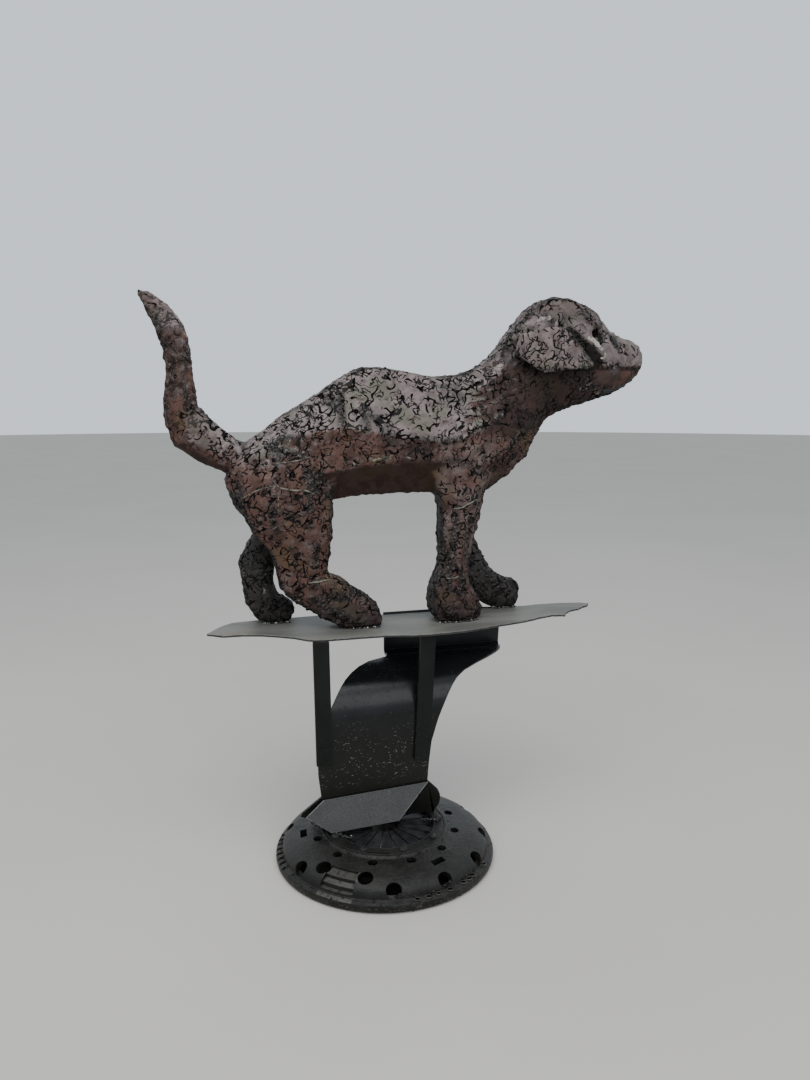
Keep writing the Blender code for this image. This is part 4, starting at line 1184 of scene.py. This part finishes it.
class BuildClutch(bpy.types.Operator):
    """Turn the clutch cover and spring, and cut their holes"""

    bl_idname = "scrap_dog.build_clutch"
    bl_label = "Clutch"

    def execute(self, context):
        clutch = settings().clutch
        black = clutch.cover_black
        paint = cover_finish(black)
        edge_paint = worn_edge_finish("Cover_Edge", black, (0.085, 0.080, 0.070), 0.6)
        # The ledge paint, lighter than the cover, is partly worn paint and partly a painted highlight along
        # the steps.
        ledge_paint = worn_edge_finish("Cover_Ledge", black, (0.046, 0.043, 0.037), 0.9)
        pressing = smoothed(self.cover(clutch.steps))
        for face in pressing.polygons:
            x, y = face.center.x - AXIS_X, face.center.y - AXIS_Y
            degrees, radius = math.degrees(math.atan2(y, x)) % 360, math.hypot(x, y)
            on_ledge = LEDGE_START - 1 < degrees < LEDGE_END + 1 and radius > LEDGE_RADIUS + 0.0002
            # Ledge tops that face up get the ledge paint, partly a painted highlight.
            if on_ledge and face.normal.z > 0.85:
                face.material_index = 1
        piece = linked(
            "cover_pressing", pressing, (paint, ledge_paint, edge_paint), "cover_black", "clutch_cover")
        edge_worn(piece, 0.0004)
        steel = dark_steel_finish("Spring_Steel", (0.013, 0.013, 0.0135), 0.45)
        piece = linked(
            "spring_disc", smoothed(self.spring(clutch)), (steel,), "spring_black", "diaphragm_spring")
        edge_worn(piece, 0.0003)
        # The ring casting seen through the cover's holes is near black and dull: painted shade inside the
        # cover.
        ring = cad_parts["pressure_ring"].data.materials
        ring.clear()
        ring.append(dark_steel_finish("Ring_Casting", (0.0022, 0.0020, 0.0018), 0.8, 0.03))
        steel = dark_steel_finish("Rivet_Steel", (0.020, 0.020, 0.0205), 0.38)
        linked("rivet_heads", smoothed(self.rivet_heads()), (steel,), "rivet_black", *RIVETS)
        linked("wire_rings", smoothed(self.wire_rings(clutch.steps)), (paint,), "cover_black")
        linked("lace_lips", smoothed(self.lace_lips()), (ledge_paint,), "cover_black")
        linked("rim_grime", smoothed(self.rim_grime(), 50), (paint,), "cover_black")
        return {"FINISHED"}

    def cover(self, steps):
        """The pressing with its ledge, round holes, six-sided slots and the small cuts in its rim."""
        top, wall = COVER_HIGH.z, 0.0035
        outside = [
            (0.1140, 0.0), (0.1275, 0.0), (0.1325, 0.0008), (0.1345, 0.0026), (0.1350, 0.0050),
            (0.1348, 0.0080), (0.1338, 0.0100), (0.1318, 0.0112), (0.1290, 0.0118), (0.1275, 0.0128),
            (0.1268, 0.0148), (0.1262, 0.0180), (0.1246, 0.0212), (0.1218, 0.0242), (0.1175, 0.0266),
            (0.1120, 0.0288), (0.1052, 0.0306), (0.0980, 0.0320), (0.0895, 0.0333), (0.0812, 0.0341),
            (0.0796, 0.0346), (0.0782, 0.0361), (0.0768, top), (0.0600, top),
        ]
        inside = [
            (0.0600, top - wall), (0.0760, top - wall), (0.0800, 0.0300), (0.1065, 0.0230),
            (0.1150, 0.0190), (0.1200, 0.0140), (0.1230, 0.0085), (0.1240, wall), (0.1140, wall),
        ]
        body, terraces, holes, slots = (bmesh.new() for _ in range(4))
        turned(body, outside + inside, steps)
        turned(terraces, [
            (LEDGE_RADIUS, 0.040), (LEDGE_RADIUS, 0.0285), (0.1150, 0.0262), (0.1155, 0.0225),
            (0.1215, 0.0200), (0.1225, 0.0160), (0.1400, 0.0130), (0.1400, 0.040),
        ], steps, LEDGE_START, LEDGE_END)
        for degrees in (15, 43, 72, 101, 130, 159, 204, 217, 245, 261, 290, 318, 346):
            radius, height = (0.1085, 0.0250) if degrees in (217, 245) else (0.1235, 0.0225)
            add_rod(holes, 0.0086, 0.018, (radius, degrees, height, math.radians(36)), 24, 1.05)
        for i in range(12):
            add_rod(slots, 0.0056, 0.016, (0.087, 7 + 30 * i, 0.032), 6, 1.15)
        for i in range(3):
            add_block(slots, (0.0080, 0.0175, 0.014), 0.101, 54 + 120 * i, 0.030)
        for i in range(8):
            add_block(slots, (0.0073, 0.0046, 0.0060), 0.1310, 158 + 4.85 * i, 0.0115)
        for degrees, radius in LACE_HOLES:
            add_rod(slots, 0.0033, 0.016, (radius, degrees, 0.0125, math.radians(20)), 12)
        turned(slots, [
            (0.0708, top - 0.0015), (0.0732, top - 0.0015), (0.0732, top + 0.002), (0.0708, top + 0.002),
        ], steps, 240, 261)
        return cut_out("cover", body, terraces, holes, slots)

    def lace_lips(self):
        """The torn lips around the small holes of the rim."""
        shape = bmesh.new()
        for degrees, radius in LACE_HOLES:
            add_ring(shape, around(radius, degrees, 0.0122), 0.0037, 0.0009, 0.85)
        return mesh_of("lace_lips", shape)

    def rim_grime(self):
        """Caked dirt on the rim and around the raised lip."""
        dice = random.Random(23)

        def within(low, high):
            return lambda: [dice.uniform(*limits) for limits in zip(low, high)]

        def on_rim():
            return dice.choice(((0.1322, 0.0015), (0.1340, 0.0050), (0.1325, 0.0102), (0.1290, 0.0118)))

        shape = bmesh.new()
        for count, arc, place, sizes, squash in (
            (90, (262, 312), within((0.1235, 0.0125), (0.1275, 0.0175)), (0.0008, 0.0024), 0.7),
            (240, (0, 360), on_rim, (0.0006, 0.0018), 0.8),
            (60, (0, 360), within((0.078, 0.0345), (0.080, 0.0360)), (0.0006, 0.0015), 0.7),
        ):
            for _ in range(count):
                degrees = dice.uniform(*arc)
                radius, height = place()
                add_bead(shape, around(radius, degrees, height), dice.uniform(*sizes), squash, dice, 1)
        return mesh_of("rim_grime", shape)

    def spring(self, clutch):
        """The spring disc with its fingers cut free."""
        seat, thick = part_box("diaphragm_spring")[0].z, 0.0025
        under = [(0.018, 0.0325), (0.046, 0.0300), (0.074, 0.0268), (0.080, seat), (0.091, seat)]
        body, gaps, ends = (bmesh.new() for _ in range(3))
        turned(body, under + [(r, z + thick) for r, z in reversed(under)], clutch.steps)
        for i in range(clutch.fingers):
            degrees = 360 * (i + 0.5) / clutch.fingers
            add_block(gaps, (0.040, 0.0020, 0.020), 0.034, degrees, 0.030)
            add_rod(ends, 0.0036, 0.020, (0.055, degrees, 0.030), 16)
        return cut_out("spring", body, gaps, ends)

    def rivet_heads(self):
        """Low domes in the places of the rivets."""
        shape = bmesh.new()
        for node in RIVETS:
            low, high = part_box(node)
            middle = (low + high) / 2
            radius = (high.x - low.x) / 2
            loops = []
            for reach, share in ((radius, 0.0), (radius, 0.35), (radius * 0.88, 0.72), (radius * 0.5, 0.95)):
                height = low.z + (high.z - low.z) * share
                loops.append([
                    shape.verts.new((middle.x + reach * x, middle.y + reach * y, height))
                    for x, y in circle(20)])
            bridged(shape, loops)
            peak = shape.verts.new((middle.x, middle.y, high.z))
            last = loops[-1]
            for first, second in zip(last, last[1:] + last[:1]):
                shape.faces.new((first, second, peak))
            shape.faces.new(loops[0])
        return mesh_of("rivet_heads", shape)

    def wire_rings(self, steps):
        """The two round wires that lie on the lip, inside and outside the rivets."""
        shape = bmesh.new()
        for radius, wire in ((0.0618, 0.0012), (0.0745, 0.0010)):
            section = [(radius + wire * across, COVER_HIGH.z + wire * up) for across, up in circle(8)]
            turned(shape, section, steps)
        return mesh_of("wire_rings", shape)


class BuildStand(bpy.types.Operator):
    """Dress the panel, gussets, bars and tray"""

    bl_idname = "scrap_dog.build_stand"
    bl_label = "Stand"

    def execute(self, context):
        stand = settings().stand
        black, bar_black, grey = stand.panel_black, stand.bar_black, stand.gusset_grey
        panel = (panel_finish(black), worn_edge_finish("Panel_Edge", black, (0.060, 0.062, 0.062), 0.4))
        bar = (bar_finish(bar_black), worn_edge_finish("Bar_Edge", bar_black, (0.110, 0.110, 0.100), 0.3))
        plate = (gusset_finish(grey), worn_edge_finish("Gusset_Edge", grey, (0.200, 0.200, 0.198), 1.0))
        for node, name, finishes, slot in (
            ("support_panel", "bent_panel", panel, "panel_black"),
            ("rear_gusset", "rear_gusset_plate", panel, "panel_black"),
            ("left_bar", "left_bar_strap", bar, "bar_black"),
            ("right_bar", "right_bar_strap", bar, "bar_black"),
            ("front_gusset", "front_gusset_plate", plate, "gusset_grey"),
        ):
            mesh = smoothed(mesh_of(name, welded_copy(node)), 28)
            edge_worn(linked(name, mesh, finishes, slot, node), stand.edge_wear)
        tray = (tray_finish(stand.tray_grey), torch_cut_finish(), worn_edge_finish(
            "Tray_Edge", (0.030, 0.029, 0.027), (0.150, 0.145, 0.132), 0.8))
        edge_worn(linked("tray_sheet", self.tray(), tray, "tray_grey", "tray_plate"), 0.0003, 1)
        return {"FINISHED"}

    def tray(self):
        """The tray with a ragged cut: its outline in short steps, each nudged inwards a little."""
        source = welded_copy("tray_plate")
        low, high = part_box("tray_plate")
        rim = [edge for edge in source.edges
               if all(abs(vert.co.z - high.z) < 1e-5 for vert in edge.verts)
               and any(abs(face.normal.z) < 0.5 for face in edge.link_faces)]
        start = rim[0].verts[0]
        outline, edge, vert = [start.co.copy()], rim[0], rim[0].verts[1]
        while vert != start:
            outline.append(vert.co.copy())
            edge = next(other for other in vert.link_edges if other in rim and other != edge)
            vert = edge.other_vert(vert)
        source.free()
        points = stepped(outline + outline[:1])
        area = sum(a.x * b.y - b.x * a.y for a, b in zip(points, points[1:] + points[:1]))
        turn = 1 if area > 0 else -1
        dice = random.Random(3)
        shape = bmesh.new()
        rings = ([], [])
        for i, point in enumerate(points):
            along = (points[(i + 1) % len(points)] - points[i - 1]).normalized()
            inward = Vector((-along.y, along.x, 0.0)) * turn
            torn = float(rising(np.array(point.x), 0.10, 0.17))
            nudge = dice.uniform(0.0, 0.0006) + torn * dice.uniform(0.0, 0.0012)
            for ring, z in zip(rings, (high.z, low.z)):
                ring.append(shape.verts.new((point + inward * nudge).to_2d().to_3d() + Vector((0, 0, z))))
        for ring in rings:
            shape.faces.new(ring)
        bridged(shape, rings)
        for side in shape.faces[2:]:
            side.material_index = 1
        return mesh_of("tray_sheet", shape)


# The camera's place, measured from the clutch's axis on the floor, and where it looks.
CAMERA_PLACE = (-0.2284, -0.9494, 0.5581)
CAMERA_FORWARD = (0.2553, 0.9527, -0.1650)
FLOOR_RADIUS = 14.0
SKY_STRENGTH = 1.15


class BuildStage(bpy.types.Operator):
    """Set the floor, the soft boxes and the camera"""

    bl_idname = "scrap_dog.build_stage"
    bl_label = "Stage"

    def execute(self, context):
        stage = settings().stage
        shape = bmesh.new()
        bmesh.ops.create_circle(shape, cap_ends=True, segments=96, radius=FLOOR_RADIUS)
        floor = added("floor", mesh_of("floor", shape))
        floor.data.materials.append(floor_finish(stage.floor_colour))

        world = bpy.data.worlds.new("Pale_Surroundings")
        world.use_nodes = True
        sky = world.node_tree.nodes["Background"]
        sky.inputs["Color"].default_value = (*stage.sky_colour, 1.0)
        sky.inputs["Strength"].default_value = SKY_STRENGTH
        context.scene.world = world

        self.soft_box("Overhead_Box", (-0.5, -0.7, 2.3), (0.0, 0.0, 0.38), 2.2, stage.key_power)
        self.soft_box("Front_Box", (0.64, -2.05, 1.66), (-0.05, 0.0, 0.2), 1.3, stage.fill_power)

        lens = bpy.data.cameras.new("Camera")
        lens.lens = stage.lens
        lens.clip_start = 0.01
        camera = added("Camera", lens)
        camera.location = placed(*CAMERA_PLACE)
        self.aim(camera, Vector(CAMERA_FORWARD))
        context.scene.camera = camera
        return {"FINISHED"}

    def aim(self, piece, forward):
        piece.rotation_euler = forward.to_track_quat("-Z", "Y").to_euler()

    def soft_box(self, name, location, target, size, power):
        light = bpy.data.lights.new(name, "AREA")
        light.shape = "SQUARE"
        light.size = size
        light.energy = power
        box = added(name, light)
        box.location = location
        self.aim(box, Vector(target) - box.location)


class DogSettings(bpy.types.PropertyGroup):
    skin: PointerProperty(type=SkinSettings, name="Skin", description="The dog's scrap skin")
    stand: PointerProperty(type=StandSettings, name="Stand", description="Panel, bars and tray")
    clutch: PointerProperty(type=ClutchSettings, name="Clutch", description="The clutch cover")
    stage: PointerProperty(type=StageSettings, name="Stage", description="Floor, lights and camera")


class ScrapDogPanel(bpy.types.Panel):
    """Lists the steps that dress the sculpture, with their sizes and colours"""

    bl_idname = "VIEW3D_PT_scrap_dog"
    bl_label = "Scrap Metal Dog"
    bl_space_type = "VIEW_3D"
    bl_region_type = "UI"
    bl_category = "Scrap Dog"

    def draw(self, context):
        for title, step_names, group in (
            ("Dog", ("build_skin", "build_slivers", "build_welds"), "skin"),
            ("Stand", ("build_stand",), "stand"),
            ("Clutch", ("build_clutch",), "clutch"),
            ("Stage", ("build_stage",), "stage"),
        ):
            box = self.layout.box()
            box.label(text=title)
            for step_name in step_names:
                box.operator("scrap_dog." + step_name)
            values = getattr(context.scene.scrap_dog, group)
            for key in values.bl_rna.properties.keys():
                if key not in ("rna_type", "name"):
                    box.prop(values, key)


CLASSES = (
    SkinSettings, StandSettings, ClutchSettings, StageSettings, DogSettings,
    BuildSkin, BuildSlivers, BuildWelds, BuildClutch, BuildStand, BuildStage, ScrapDogPanel,
)


def register():
    for entry in CLASSES:
        bpy.utils.register_class(entry)
    bpy.types.Scene.scrap_dog = PointerProperty(type=DogSettings)


def unregister():
    del bpy.types.Scene.scrap_dog
    for entry in reversed(CLASSES):
        bpy.utils.unregister_class(entry)


def corners(bounds):
    return [list(map(float, corner)) for corner in bounds]


def main():
    for name in ("Cube", "Light", "Camera"):
        if name in bpy.data.objects:
            bpy.data.objects.remove(bpy.data.objects[name])
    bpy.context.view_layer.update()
    register()
    bpy.ops.scrap_dog.build_stage()
    bpy.ops.scrap_dog.build_stand()
    bpy.ops.scrap_dog.build_clutch()
    bpy.ops.scrap_dog.build_skin()
    bpy.ops.scrap_dog.build_slivers()
    bpy.ops.scrap_dog.build_welds()


if __name__ == "__main__":
    main()
